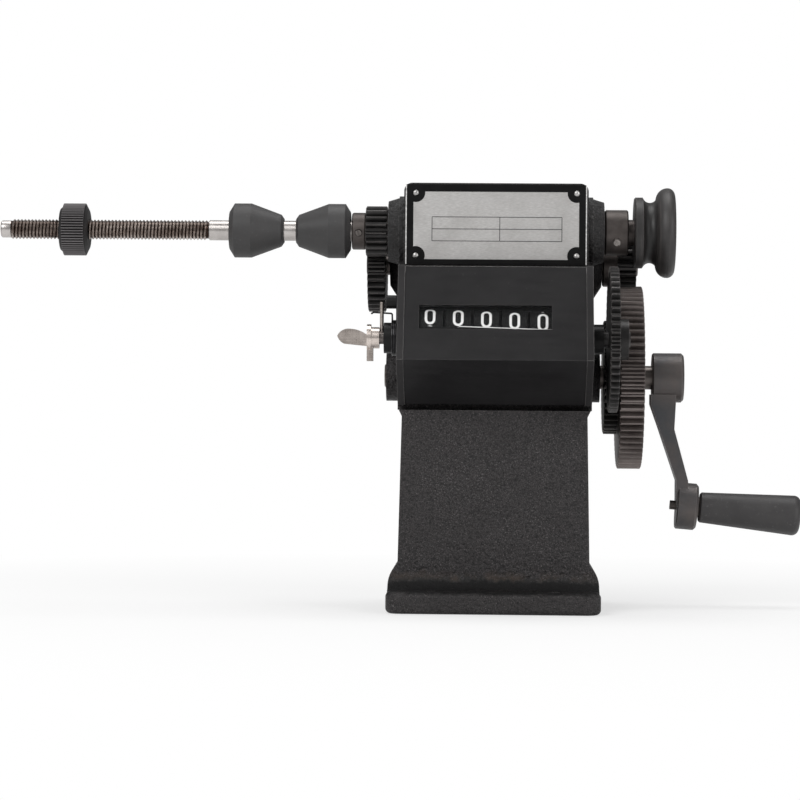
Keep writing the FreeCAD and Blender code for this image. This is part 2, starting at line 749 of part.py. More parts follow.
def make_spindle():
    full = "arbor_length + spindle_gear_width + end_float + 2 * boss_face + end_float + right_collar_width"
    thread_end = "2 * small_chamfer"
    keep(turned("spindle", [
        ("0", "0"), ("0", "arbor_tip / 2 - small_chamfer"), ("small_chamfer", "arbor_tip / 2"),
        ("arbor_tip_length", "arbor_tip / 2"), ("arbor_tip_length", "arbor / 2 - small_chamfer / 2"),
        (f"arbor_tip_length + {thread_end}", "arbor / 2"), ("arbor_length", "arbor / 2"),
        ("arbor_length", "journal / 2"), (full, "journal / 2"), (full, "arbor / 2"),
        (f"{full} + lock_nut_width + pulley_width - 1.5", "arbor / 2"),
        (f"{full} + lock_nut_width + pulley_width - 1.5", "0"),
    ], "arbor_end_x - arbor_length", "spindle_y", "spindle_z"), "spindle")

    for side, width, outside, bore, x, angle in (
            ("left", "left_collar_width", "left_collar_od", "arbor", "arbor_end_x - left_collar_width",
             "left_screw_angle"),
            ("right", "right_collar_width", "right_collar_od", "journal", "right_collar_x",
             "right_screw_angle")):
        ring = turned(f"{side}_collar_blank", [
            ("0", f"{bore} / 2"), ("0", f"{outside} / 2 - small_chamfer"), ("small_chamfer", f"{outside} / 2"),
            (f"{width} - small_chamfer", f"{outside} / 2"), (width, f"{outside} / 2 - small_chamfer"),
            (width, f"{bore} / 2"),
        ], x, "spindle_y", "spindle_z")
        middle = f"{x} + {width} / 2"
        hole = spoke(f"{side}_screw_hole", "set_screw / 2", f"{bore} / 2 - 1", f"{outside} / 2 + 2", middle,
                     "spindle_y", "spindle_z", angle)
        keep(cut(f"{side}_collar", ring, [hole]), f"{side}_collar")
        keep(spoke(f"{side}_collar_screw", "set_screw / 2", f"{bore} / 2 + 0.2",
                   f"({outside} - {bore}) / 2 + set_screw_proud - 0.2", middle, "spindle_y", "spindle_z", angle),
             f"{side}_collar_screw")

    keep(turned("pulley_lock_nut", [
        ("0", "arbor / 2"), ("0", "lock_nut_od / 2"), ("lock_nut_width", "lock_nut_od / 2"),
        ("lock_nut_width", "arbor / 2"),
    ], "lock_nut_x", "spindle_y", "spindle_z"), "pulley_lock_nut")

    groove_start = "pulley_flange_width + small_chamfer"
    groove_end = "pulley_flange_width + small_chamfer + belt_groove_width"
    rim = "pulley_rim / 2"
    keep(turned("belt_pulley", [
        ("0", "arbor / 2"), ("0", "pulley_flange / 2 - small_chamfer"), ("small_chamfer", "pulley_flange / 2"),
        ("pulley_flange_width", "pulley_flange / 2"), (groove_start, "belt_groove / 2 + 1.4"),
        (groove_end, "belt_groove / 2 + 1.4", "belt_groove_radius", 1),
        (f"{groove_end} + rim_back_radius", rim, f"{rim} - belt_groove / 2 - 1.4", -1),
        (f"{groove_end} + rim_back_radius + rim_front_radius - 1", f"{rim} - rim_front_radius + 1",
         "rim_front_radius - 1", -1),
        ("pulley_width", f"{rim} - rim_front_radius - 4"), ("pulley_width", "arbor / 2"),
    ], "pulley_x", "spindle_y", "spindle_z"), "belt_pulley")

    cone = [
        ("0", "arbor / 2 + slide_gap"), ("0", "cone_back / 2"), ("cone_back_chamfer", "cone_od / 2"),
        ("cone_back_chamfer + cone_land", "cone_od / 2"), ("cone_length - cone_nose_chamfer", "cone_nose / 2"),
        ("cone_length", "cone_nose / 2 - 2"), ("cone_length", "arbor / 2 + slide_gap"),
    ]
    keep(turned("outer_cone", cone, "outer_cone_x", "spindle_y", "spindle_z"), "outer_cone")
    mirrored = [(f"cone_length - ({along})", radius) for along, radius in cone]
    keep(turned("inner_cone", mirrored, "inner_cone_x - cone_length", "spindle_y", "spindle_z"), "inner_cone")

    body_end = "nut_width - nut_collar_width"
    keep(turned("knurled_nut", [
        ("0", "arbor / 2 + slide_gap"), ("0", "nut_od / 2 - nut_chamfer"), ("nut_chamfer", "nut_od / 2"),
        (f"{body_end} - nut_chamfer / 2", "nut_od / 2"), (body_end, "nut_od / 2 - nut_chamfer / 2"),
        (body_end, "nut_collar_od / 2"), ("nut_width - small_chamfer", "nut_collar_od / 2"),
        ("nut_width", "nut_collar_od / 2 - small_chamfer"), ("nut_width", "arbor / 2 + slide_gap"),
    ], "-nut_place", "spindle_y", "spindle_z"), "knurled_nut")


# ---------------------------------------------------------------- gear train

def make_gears():
    up = direction_between("train_y", "crank_z", "train_y", "countershaft_z")
    pinion_phase = mesh_phase(0, value("crank_gear_teeth"), value("pinion_teeth"), up)
    forward = direction_between("train_y", "countershaft_z", "spindle_y", "spindle_z")
    spindle_phase = mesh_phase(0, value("back_gear_teeth"), value("spindle_gear_teeth"), forward)
    down = direction_between("train_y", "crank_z", "counter_y", "counter_z")
    counter_phase = mesh_phase(0, value("drive_gear_teeth"), value("counter_gear_teeth"), down)

    gear("crank_gear", "crank_gear_teeth", "crank_gear_width", "crank_shaft_od",
         "crank_gear_place", "train_y", "crank_z", 0)
    gear("counter_drive_gear", "drive_gear_teeth", "drive_gear_width", "crank_shaft_od",
         "drive_gear_x", "train_y", "crank_z", 0)
    gear("countershaft_pinion", "pinion_teeth", "pinion_width", "countershaft_od",
         "pinion_x", "train_y", "countershaft_z", pinion_phase)
    gear("countershaft_gear", "back_gear_teeth", "back_gear_width", "countershaft_od",
         "back_gear_x", "train_y", "countershaft_z", 0)
    gear("spindle_gear", "spindle_gear_teeth", "spindle_gear_width", "journal",
         "arbor_end_x", "spindle_y", "spindle_z", spindle_phase)
    hub_start = value("counter_gear_width")
    hub = Part.makeCylinder(value("gear_hub_od") / 2, value("gear_hub_width"),
                            FreeCAD.Vector(hub_start, 0, 0), X_AXIS)
    bore = Part.makeCylinder(value("counter_shaft_od") / 2, value("counter_gear_width + gear_hub_width"),
                             FreeCAD.Vector(0, 0, 0), X_AXIS)
    gear("counter_gear", "counter_gear_teeth", "counter_gear_width", "counter_shaft_od",
         "counter_gear_x", "counter_y", "counter_z", counter_phase, [hub], [bore])


def make_countershaft():
    left = "back_gear_x - shaft_end"
    length = f"pinion_x + pinion_width + shaft_end - ({left})"
    keep(turned("countershaft", [
        ("0", "0"), ("0", "countershaft_od / 2 - small_chamfer"), ("small_chamfer", "countershaft_od / 2"),
        (f"{length} - small_chamfer", "countershaft_od / 2"), (length, "countershaft_od / 2 - small_chamfer"),
        (length, "0"),
    ], left, "train_y", "countershaft_z"), "countershaft")
    keep(turned("countershaft_collar", [
        ("0", "countershaft_od / 2"), ("0", "hub_collar_od / 2 - small_chamfer"),
        ("small_chamfer", "hub_collar_od / 2"), ("hub_collar_width", "hub_collar_od / 2"),
        ("hub_collar_width", "countershaft_od / 2"),
    ], "hub_collar_x", "train_y", "countershaft_z"), "countershaft_collar")


# ---------------------------------------------------------------- crank

def make_crank():
    left = "-crank_boss_left - shaft_end"
    length = f"crank_hub_place + crank_hub_width - ({left})"
    keep(turned("crank_shaft", [
        ("0", "0"), ("0", "crank_shaft_od / 2 - small_chamfer"), ("small_chamfer", "crank_shaft_od / 2"),
        (f"{length} - small_chamfer", "crank_shaft_od / 2"), (length, "crank_shaft_od / 2 - small_chamfer"),
        (length, "0"),
    ], left, "train_y", "crank_z"), "crank_shaft")
    keep(turned("crank_shaft_ring", [
        ("0", "crank_shaft_od / 2"), ("0", "shaft_ring_od / 2"), ("shaft_ring_width", "shaft_ring_od / 2"),
        ("shaft_ring_width", "crank_shaft_od / 2"),
    ], "ring_x", "train_y", "crank_z"), "crank_shaft_ring")

    bend = slab("arm_bend", "XZ_Plane", [
        ("crank_hub_place - 0.8", "crank_z - crank_hub_od / 2 + 4"),
        ("crank_hub_place - 0.8", "crank_z - crank_hub_od / 2 - 1"),
        ("crank_hub_place + arm_waist_shift", "crank_z - arm_waist_drop"),
        ("crank_hub_place + arm_foot_shift", "crank_z - arm_foot_drop"),
        ("crank_hub_place + arm_foot_shift", "handle_z"),
        ("crank_hub_place + arm_foot_shift + arm_foot_thickness", "handle_z"),
        ("crank_hub_place + arm_foot_shift + arm_foot_thickness", "crank_z - arm_foot_drop"),
        ("crank_hub_place + arm_waist_shift + arm_waist_thickness", "crank_z - arm_waist_drop"),
        ("crank_hub_place - 0.8 + arm_top_thickness", "crank_z - crank_hub_od / 2 - 1"),
        ("crank_hub_place - 0.8 + arm_top_thickness", "crank_z - crank_hub_od / 2 + 4"),
    ], "2 * arm_top_breadth", y="train_y", symmetric=True)
    breadth = slab("arm_breadth", "YZ_Plane", [
        ("train_y - arm_top_breadth / 2", "crank_z"), ("train_y - arm_foot_breadth / 2", "handle_z"),
        ("train_y + arm_foot_breadth / 2", "handle_z"), ("train_y + arm_top_breadth / 2", "crank_z"),
    ], "2 * crank_hub_width + arm_foot_shift", x="crank_hub_place - crank_hub_width / 2")
    arm = DOC.addObject("Part::MultiCommon", "arm_bar")
    arm.Shapes = [bend, breadth]
    hub = turned("crank_hub", [
        ("0", "0"), ("0", "crank_hub_od / 2 - small_chamfer"), ("small_chamfer", "crank_hub_od / 2"),
        ("crank_hub_width - 2 * small_chamfer", "crank_hub_od / 2"),
        ("crank_hub_width", "crank_hub_od / 2 - 2 * small_chamfer"), ("crank_hub_width", "0"),
    ], "crank_hub_place", "train_y", "crank_z")
    boss = drooped(turned("handle_boss", [
        ("-handle_boss_width / 2", "0"), ("-handle_boss_width / 2", "handle_boss_od / 2 - small_chamfer"),
        ("-handle_boss_width / 2 + small_chamfer", "handle_boss_od / 2"),
        ("handle_boss_width / 2 - 2 * small_chamfer", "handle_boss_od / 2"),
        ("handle_boss_width / 2", "handle_boss_od / 2 - 2 * small_chamfer"), ("handle_boss_width / 2", "0"),
    ]))
    shaft_bore = rod("crank_arm_bore", "crank_shaft_od / 2", "3 * crank_hub_width",
                     "crank_hub_place - crank_hub_width", "train_y", "crank_z")
    pin_bore = drooped(turned("handle_pin_bore", [
        ("-handle_boss_width", "0"), ("-handle_boss_width", "handle_stub / 2"),
        ("handle_boss_width", "handle_stub / 2"), ("handle_boss_width", "0"),
    ]))
    screw_x = "crank_hub_place + crank_hub_width / 2"
    screw_bore = spoke("crank_screw_bore", "crank_screw / 2", "crank_shaft_od / 2 - 1",
                       "crank_hub_od / 2", screw_x, "train_y", "crank_z", "180")
    keep(cut("crank_arm", joined("arm_solids", [arm, hub, boss]), [shaft_bore, pin_bore, screw_bore]), "crank_arm")
    keep(spoke("crank_arm_screw", "crank_screw / 2", "crank_shaft_od / 2 + 0.1",
               "(crank_hub_od - crank_shaft_od) / 2 - 0.8", screw_x, "train_y", "crank_z", "180"),
         "crank_arm_screw")


def drooped(body):
    """Put a handle part on the handle's own axis, which dips a little outwards."""
    body.Placement.Rotation = FreeCAD.Rotation(Y_AXIS, 1)
    bind(body, Placement__Rotation__Angle="handle_droop")
    place(body, "handle_x", "train_y", "handle_z")
    return body


def make_handle():
    boss_face = "handle_boss_width / 2"
    shoulder = f"{boss_face} + handle_shoulder_width"
    head_seat = f"{shoulder} + 2 * slide_gap + grip_length - grip_recess"
    keep(drooped(turned("handle_pin", [
        (f"-{boss_face} - handle_stub_length", "0"), (f"-{boss_face} - handle_stub_length", "handle_stub / 2"),
        (boss_face, "handle_stub / 2"), (boss_face, "handle_shoulder_od / 2"),
        (shoulder, "handle_shoulder_od / 2"), (shoulder, "handle_pin_od / 2"),
        (f"{head_seat} + slide_gap", "handle_pin_od / 2"),
        (f"{head_seat} + slide_gap", "grip_recess_od / 2 - 0.6"),
        (f"{head_seat} + pin_head_height", "grip_recess_od / 2 - 0.6"),
        (f"{head_seat} + pin_head_height", "0"),
    ])), "handle_pin")
    start = f"{shoulder} + slide_gap"
    end = f"{start} + grip_length"
    keep(drooped(turned("handle_grip", [
        (start, "handle_pin_od / 2 + slide_gap"), (start, "grip_small_od / 2 - grip_edge"),
        (f"{start} + grip_edge", "grip_small_od / 2"),
        (f"{end} - grip_end_radius", "grip_large_od / 2"),
        (end, "grip_large_od / 2 - grip_end_radius", "grip_end_radius", -1),
        (end, "grip_recess_od / 2"), (f"{end} - grip_recess", "grip_recess_od / 2"),
        (f"{end} - grip_recess", "handle_pin_od / 2 + slide_gap"),
    ])), "handle_grip")


# ---------------------------------------------------------------- turns counter

def cover_corners(grow):
    """The counter's side outline, grown by a margin at its free sides."""
    return [
        ("-head_front", f"cover_bottom - ({grow})"), ("-head_front", f"cover_top + ({grow})"),
        (f"-cover_top_front - ({grow})", f"cover_top + ({grow})"),
        (f"-crease_front - ({grow})", "crease_z"),
        (f"-cover_bottom_front - ({grow})", f"cover_bottom - ({grow})"),
    ]


def face_slot(name, outer, inner, half_height, width, x):
    """A slab through the counter's sloping face: outer and inner are depths below it."""
    corners = []
    for along, depth in ((1, outer), (-1, outer), (-1, inner), (1, inner)):
        y = f"window_y - face_z * ({depth}) + {along} * ({half_height}) * face_y"
        z = f"window_z + face_y * ({depth}) + {along} * ({half_height}) * face_z"
        corners.append((y, z))
    return slab(name, "YZ_Plane", corners, width, x=x)


def make_cover():
    body = slab("counter_shell", "YZ_Plane", cover_corners("0"), "counter_width - 2 * end_plate", symmetric=True)
    DOC.recompute()
    pad = body.Tip
    open_faces = []
    for index, face in enumerate(pad.Shape.Faces, start=1):
        normal = face.normalAt(0, 0)
        if abs(normal.x) > 0.9 or normal.y > 0.9:
            open_faces.append(f"Face{index}")
    shell = body.newObject("PartDesign::Thickness", "counter_shell_wall")
    shell.Base = (pad, open_faces)
    bind(shell, Value="cover_wall")
    shell.Reversed = True
    shell.Join = 1
    body.Tip = shell
    window = face_slot("window_cut", "-1", "cover_wall + 1", "window_height / 2", "window_width",
                       "window_x - window_width / 2")
    keep(cut("counter_cover", body, [window]), "counter_cover")
    keep(face_slot("counter_window", "pane_recess", "pane_recess + pane_thickness",
                   "window_height / 2 - pane_gap", "window_width - 2 * pane_gap",
                   "window_x - window_width / 2 + pane_gap"), "counter_window")


def make_end_plates():
    for side, direction, boss_od, boss_reach, shaft in (
            ("left", -1, "left_boss_od", "left_boss_reach", "reset_shaft_od"),
            ("right", 1, "right_boss_od", "right_boss_reach", "counter_shaft_od")):
        start = "counter_width / 2 - end_plate" if direction > 0 else "-counter_width / 2"
        plate = slab(f"end_plate_{side}", "YZ_Plane", cover_corners("end_plate_margin"), "end_plate", x=start)
        boss_length = f"{boss_reach} - counter_width / 2 + end_plate"
        boss_x = start if direction > 0 else f"-{boss_reach}"
        solids = [plate, rod(f"end_boss_{side}", f"{boss_od} / 2", boss_length, boss_x, "counter_y", "counter_z")]
        lug_x = "lug_place - lug_side / 2" if direction > 0 else "-counter_width / 2 + end_plate - 0.1"
        holes = [rod(f"end_bore_{side}", f"{shaft} / 2 + running_gap", "2 * counter_width", "-counter_width",
                     "counter_y", "counter_z")]
        for x, z in lug_places():
            if x.startswith(str(direction) + " "):
                solids.append(box("plate_lug", "lug_reach + 0.1", "lug_length", "lug_side", lug_x,
                                  "-head_front - lug_length", f"{z} - lug_side / 2"))
                holes.append(post("lug_hole", "lug_screw / 2", "lug_length - 2", x, "-head_front", z))
        if direction < 0:
            solids.append(rod("spring_post", "spring_post_od / 2", "spring_post_length + 1",
                              "-counter_width / 2 - spring_post_length", "counter_y",
                              "counter_z + spring_post_rise"))
        bar_seat = rod(f"bar_seat_{side}", "shaft_bar / 2", "end_plate",
                       "counter_width / 2 - end_plate - 0.1" if direction > 0 else "-counter_width / 2 + 0.1",
                       "counter_y", "counter_z - shaft_bar_drop")
        holes.append(bar_seat)
        label = f"counter_end_plate_{side}"
        keep(cut(label, joined(f"end_solids_{side}", solids), holes), label)

    screws = []
    for x, z in lug_places():
        head_back = "-head_front + casting_wall"
        head = post("lug_screw_head", "lug_screw_head / 2", "lug_screw_head_height", x,
                    f"{head_back} + lug_screw_head_height", z)
        shank = post("lug_screw_shank", "lug_screw / 2", "casting_wall + lug_length - 3", x, head_back, z)
        screws.append(joined("lug_screw", [head, shank]))
    keep(group("counter_screws", screws), "counter_screws")


WHEELS = ["ten_thousands_wheel", "thousands_wheel", "hundreds_wheel", "tens_wheel", "units_wheel"]


def wheel_x(index):
    """The middle of a number wheel; index 0 is the highest figure, at the left."""
    return f"wheel_mid_x + {index - 2} * wheel_pitch"


def make_wheels():
    for index, label in enumerate(WHEELS):
        bore = "counter_shaft_od / 2" if label == "units_wheel" else "reset_shaft_od / 2 + running_gap"
        half = "wheel_width / 2"
        rim_inside = "wheel_od / 2 - wheel_rim"
        web_left = f"-{half} + 1"
        web_right = f"{web_left} + wheel_web"
        keep(turned(label, [
            (web_left, bore), (web_left, rim_inside), (f"-{half}", rim_inside), (f"-{half}", "wheel_od / 2"),
            (half, "wheel_od / 2"), (half, rim_inside), (web_right, rim_inside), (web_right, "wheel_hub_od / 2"),
            (half, "wheel_hub_od / 2"), (half, bore),
        ], wheel_x(index), "counter_y", "counter_z"), label)


def make_counter_shafts():
    left = "reset_shaft_end"
    right = "counter_gear_x + counter_gear_width + gear_hub_width + shaft_end"
    keep(turned("counter_shaft", [
        ("0", "0"), ("0", "counter_shaft_od / 2"), (f"{right} - {left} - small_chamfer", "counter_shaft_od / 2"),
        (f"{right} - {left}", "counter_shaft_od / 2 - small_chamfer"), (f"{right} - {left}", "0"),
    ], left, "counter_y", "counter_z"), "counter_shaft")
    reset_left = "-left_boss_reach - wing_hub_gap - wing_hub_width"
    reset_length = f"{left} - 0.3 - ({reset_left})"
    shaft = turned("reset_shaft_blank", [
        ("0", "0"), ("0", "reset_shaft_od / 2"), (reset_length, "reset_shaft_od / 2"), (reset_length, "0"),
    ], reset_left, "counter_y", "counter_z")
    pin_x = "-left_boss_reach - wing_hub_gap / 2"
    hole = spoke("reset_pin_hole", "reset_pin_od / 2", "-reset_shaft_od", "2 * reset_shaft_od", pin_x,
                 "counter_y", "counter_z", "-90")
    keep(cut("reset_shaft", shaft, [hole]), "reset_shaft")
    keep(spoke("reset_pin", "reset_pin_od / 2", "-reset_shaft_od / 2", "reset_pin_reach + reset_shaft_od / 2",
               pin_x, "counter_y", "counter_z", "-90"), "reset_pin")

    keep(rod("carry_bar", "shaft_bar / 2", "counter_width - 0.2", "-counter_width / 2 + 0.1",
             "counter_y", "counter_z - shaft_bar_drop"), "carry_bar")
    plates = []
    pinions = []
    for index in range(len(WHEELS) - 1):
        middle = f"wheel_mid_x + {index - 1.5} * wheel_pitch"
        disc = rod("carry_disc", "carry_plate_od / 2", "carry_plate", f"{middle} - carry_plate / 2",
                   "counter_y", "counter_z")
        tab = box("carry_tab", "carry_plate", "2 * shaft_bar", "shaft_bar_drop + shaft_bar",
                  f"{middle} - carry_plate / 2", "counter_y - shaft_bar", "counter_z - shaft_bar_drop - shaft_bar")
        bores = [
            rod("carry_disc_bore", "counter_shaft_od / 2 + 0.4", "2 * carry_plate", f"{middle} - carry_plate",
                "counter_y", "counter_z"),
            rod("carry_tab_bore", "shaft_bar / 2", "2 * carry_plate", f"{middle} - carry_plate",
                "counter_y", "counter_z - shaft_bar_drop"),
        ]
        plates.append(cut("carry_plate", joined("carry_plate_solid", [disc, tab]), bores))
        pinions.append(rod("carry_pinion", "carry_pinion_od / 2", "carry_pinion_width",
                           f"{middle} - carry_plate / 2 - carry_pinion_width", "counter_y",
                           "counter_z - carry_pinion_drop"))
    keep(group("carry_plates", plates), "carry_plates")
    keep(group("carry_pinions", pinions), "carry_pinions")


def make_wing_nut():
    hub_x = "-left_boss_reach - wing_hub_gap - wing_hub_width"
    hub = turned("wing_hub", [
        ("0", "0"), ("0", "wing_disc_od / 2"), ("wing_disc_width", "wing_disc_od / 2"),
        ("wing_disc_width", "wing_hub_od / 2"), ("wing_hub_width", "wing_hub_od / 2"), ("wing_hub_width", "0"),
    ], hub_x, "counter_y", "counter_z")
    wing = slab("wing_leaf", "XZ_Plane", [
        ("0", "-wing_root_bottom"), ("0", "wing_root_top"),
        ("-wing_crown_place", "wing_crown", "1.5 * wing_crown_place", 1),
        ("-wing_reach", "wing_tip_rise", "wing_reach - wing_crown_place", 1),
        ("-wing_belly_place", "-wing_belly", "wing_reach - wing_crown_place", 1),
    ], "wing_thickness", f"{hub_x} + wing_disc_width / 2", "counter_y", "counter_z", symmetric=True)
    tail = box("wing_tail", "tail_width", "tail_breadth", "tail_length", hub_x,
               "counter_y - tail_breadth / 2", "counter_z - tail_length")
    bore = rod("wing_bore", "reset_shaft_od / 2", "wing_hub_width", hub_x, "counter_y", "counter_z")
    keep(cut("wing_nut", joined("wing_solids", [hub, wing, tail]), [bore]), "wing_nut")


def make_reset_spring():
    """A torsion spring round the left boss: one leg to the spring post, one behind the reset pin."""
    inside, outside = "spring_radius - spring_wire / 2", "spring_radius + spring_wire / 2"
    coil_length = "spring_wire * spring_turns"
    coil = turned("spring_coil", [
        ("0", inside), ("0", outside), (coil_length, outside), (coil_length, inside),
    ], f"-counter_width / 2 - {coil_length}", "counter_y", "counter_z")
    wire_x = "-counter_width / 2 - spring_wire / 2"
    outer_wire_x = f"-counter_width / 2 - {coil_length} + spring_wire / 2"
    hook_y = "counter_y + reset_pin_od / 2 + spring_wire / 2 + running_gap"
    post_leg = spoke("spring_post_leg", "0.45 * spring_wire", "spring_radius - 1.1",
                     "spring_post_rise + spring_post_od / 2 - spring_radius + 1.1", wire_x,
                     "counter_y - spring_post_od / 2 - spring_wire / 2", "counter_z", "-90")
    pin_leg = spoke("spring_pin_leg", "0.45 * spring_wire", "spring_radius", "spring_hook_rise - spring_radius",
                    outer_wire_x, hook_y, "counter_z", "-90")
    hook = rod("spring_hook", "0.4 * spring_wire", "spring_hook_length", f"{outer_wire_x} - spring_hook_length",
               hook_y, "counter_z + spring_hook_rise - 0.6 * spring_wire")
    keep(joined("reset_spring", [coil, post_leg, pin_leg, hook]), "reset_spring")


# ---------------------------------------------------------------- build and write out

def check_document():
    for item in DOC.Objects:
        if "Invalid" in item.State or "Error" in item.State:
            raise RuntimeError(f"{item.Name} failed: {item.State}")
    for part in PARTS:
        if part.Shape.isNull() or not part.Shape.isValid():
            raise RuntimeError(f"{part.Label} has no valid shape")
        if not part.Shape.Solids:
            raise RuntimeError(f"{part.Label} holds no solid")


def main():
    fill_sheet()
    make_stand()
    make_name_plate()
    make_bushes()
    make_spindle()
    make_gears()
    make_countershaft()
    make_crank()
    make_handle()
    make_cover()
    make_end_plates()
    make_wheels()
    make_counter_shafts()
    make_wing_nut()
    make_reset_spring()
    DOC.recompute()
    check_document()
    os.makedirs("parts", exist_ok=True)
    for part in PARTS:
        part.Shape.exportStep(f"parts/{part.Label}.step")
    print(len(PARTS), "sub-parts written")


main()
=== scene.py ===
import json
import math

import bmesh
import bpy
from mathutils import Matrix, Vector


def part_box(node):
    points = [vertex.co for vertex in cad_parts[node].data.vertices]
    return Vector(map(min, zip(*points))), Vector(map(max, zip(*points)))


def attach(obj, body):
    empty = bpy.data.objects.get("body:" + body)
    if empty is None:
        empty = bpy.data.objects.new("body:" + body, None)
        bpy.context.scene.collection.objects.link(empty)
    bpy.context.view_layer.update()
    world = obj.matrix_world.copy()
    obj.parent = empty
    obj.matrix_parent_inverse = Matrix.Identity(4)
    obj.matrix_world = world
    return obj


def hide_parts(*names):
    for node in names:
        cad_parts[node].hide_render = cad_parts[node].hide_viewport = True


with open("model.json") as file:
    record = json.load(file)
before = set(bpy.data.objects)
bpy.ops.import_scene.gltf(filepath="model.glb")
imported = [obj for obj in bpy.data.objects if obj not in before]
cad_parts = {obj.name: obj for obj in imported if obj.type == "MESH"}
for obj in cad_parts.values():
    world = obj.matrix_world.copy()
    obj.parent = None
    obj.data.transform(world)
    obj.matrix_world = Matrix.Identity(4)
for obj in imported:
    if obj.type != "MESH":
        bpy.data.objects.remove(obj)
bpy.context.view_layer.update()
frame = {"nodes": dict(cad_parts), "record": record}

# Hand-cranked coil winding machine: the looks of a cast stand, a threaded winding spindle,
# a gear train turned by a crank, and a five-figure turns counter. Metres, +X along the
# spindle towards the crank, -Y the front, +Z up.

MM = 0.001
PLACES = {joint["name"]: Vector(joint["pos_m"]) for joint in frame["record"]["behaviour"]["joints"]
          if "pos_m" in joint}
SPINDLE_AXIS = PLACES["spindle_spin"]
COUNTER_AXIS = PLACES["counter_spin"]
CRANK_AXIS = PLACES["crank_spin"]
COUNTERSHAFT_AXIS = PLACES["countershaft_spin"]

# spindle
THREAD_PITCH = 1.75 * MM
THREAD_CREST, THREAD_ROOT = 5.0 * MM, 4.15 * MM
THREAD_END_X = -143.5 * MM
THREAD_GAPS = 0.8 * MM, 0.4 * MM  # between the ridge and the tip's shoulder, and the ridge and the arbor
TIP_LENGTH, TIP_RADIUS, TIP_SHOULDER = 5.0 * MM, 4.25 * MM, 0.2 * MM
ARBOR_RADIUS, JOURNAL_RADIUS = 5.0 * MM, 6.0 * MM
SPINDLE_CHAMFER = 0.6 * MM
CENTRE_HOLE_RADIUS, CENTRE_HOLE_DEPTH = 1.6 * MM, 1.4 * MM

# knurled nut
NUT_RADIUS, NUT_BORE = 13.0 * MM, 5.05 * MM
NUT_LEFT_BEVEL, NUT_RIGHT_BEVEL = (1.9 * MM, 2.6 * MM), (1.5 * MM, 3.2 * MM)  # each along the spindle, then inwards
NUT_FLUTES = 58
FLUTE_DEPTH, CORE_DEPTH = 0.9 * MM, 1.0 * MM  # below the flutes' crests
FLUTES_FROM = 1.6 * MM  # in from the left end; they run to the right bevel

# screws
SCREW_SHARE = 0.9  # how much of the CAD screw's length the slotted one keeps
SET_SCREW_SLOT_DEPTH = 0.9 * MM
FIXING_HEAD_RADIUS, FIXING_HEAD_LENGTH = 2.75 * MM, 3.0 * MM
FIXING_SLOT_WIDTH, FIXING_SLOT_DEPTH = 0.8 * MM, 1.1 * MM

# name plate
FIELD_HALF_WIDTH = 40.7 * MM
FIELD_BOTTOM, FIELD_TOP = 172.7 * MM, 205.9 * MM
FIELD_THICKNESS = 0.06 * MM
CORNER_BITE, CORNER_STEPS = 4.6 * MM, 12
RULE_ROWS = 193.5 * MM, 187.6 * MM, 181.7 * MM
RULE_COLUMNS = -31.5 * MM, 32.3 * MM, 1.8 * MM  # left, right, divider
RULE_WIDTH, RULE_HALF_DEPTH = 0.36 * MM, 0.01 * MM
RULE_LIFT = 0.075 * MM  # from the plate's face to the middle of the ink
RIVET_SPACING_X, RIVET_SPACING_Z = 79.1 * MM, 30.8 * MM
RIVET_RADIUS, RIVET_HEIGHT = 1.45 * MM, 0.8 * MM

# number wheels; angles about the counter's shaft are in degrees above the front
FIGURE_HEIGHT = 9.8 * MM
FIGURE_WIDTH = 5.2 * MM
FIGURE_STROKE = 1.25 * MM
FIGURE_RELIEF = 0.03 * MM
FIGURE_ANGLE = 34.4  # where a figure stands upright in the window
FIGURE_SLACK = 2.7  # each wheel hangs this much lower than the one on its left
WHEELS = [("ten_thousands_wheel", "ten_thousands_wheel"), ("thousands_wheel", "thousands_wheel"),
          ("hundreds_wheel", "hundreds_wheel"), ("tens_wheel", "tens_wheel"), ("units_wheel", "counter_drive")]

# mask behind the window
MASK_STRIPS = (55.8, 50.0, 76.0), (19.6, 11.8, -12.0)  # inner edge at the left and the right, outer edge
MASK_STEPS = 8
MASK_INSIDE, MASK_OUTSIDE = 16.75 * MM, 16.95 * MM
# a thin white strip along the window's bottom edge, painted as a highlight
GLINT_START = 0.3  # share of the window's width
GLINT_LEFT, GLINT_RIGHT = (18.2, 19.6), (13.4, 14.8)
GLINT_RADII = 16.98 * MM, 17.08 * MM

# reset spring
SPRING_WIRE_RADIUS, SPRING_RADIUS = 0.45 * MM, 8.4 * MM
SPRING_TURNS, SPRING_STEPS = 3, 28
SPRING_FIRST, SPRING_LAST = 116, 81  # where the winding begins and ends, in degrees above the back
SPRING_FROM_COVER, SPRING_LENGTH = 3.4 * MM, 2.4 * MM
POST_LEG_FRONT, POST_LEG_FOOT, POST_LEG_TOP = 3.75 * MM, 12.0 * MM, 20.6 * MM  # from the counter's shaft
HOOK_BACK = 1.45 * MM

# places where a surface changes; it fades between the two values of a pair
# painted shade falls on the head above HEAD_START and in the foot's groove between FOOT_GROOVE_START and
# FOOT_GROOVE_END
HEAD_START = 150 * MM, 158 * MM  # heights on the casting
FOOT_GROOVE_START, FOOT_GROOVE_END = (9.0 * MM, 10.8 * MM), (14.0 * MM, 17.5 * MM)
RUST_START, RUST_END = (14.5 * MM, 16.5 * MM), (16.5 * MM, 20 * MM)
# beyond these distances the name plate gets a painted highlight along its sides
PLATE_SIDE_HIGHLIGHT = 43.95 * MM, 44.1 * MM  # distances from the middle of the machine
END_PLATE_FACE = 47.7 * MM  # the same; the bosses stand out from here
COVER_TOP_BAND = 2.5 * MM  # depth of the band below the cover's top whose edges get the painted highlight
# the pulley gets painted shade within these radii
PULLEY_GROOVE = 15.5 * MM, 20 * MM  # radii
EDGE_BEND = 0.01, 1 / 6  # how far an edge turns: 1 less the cosine

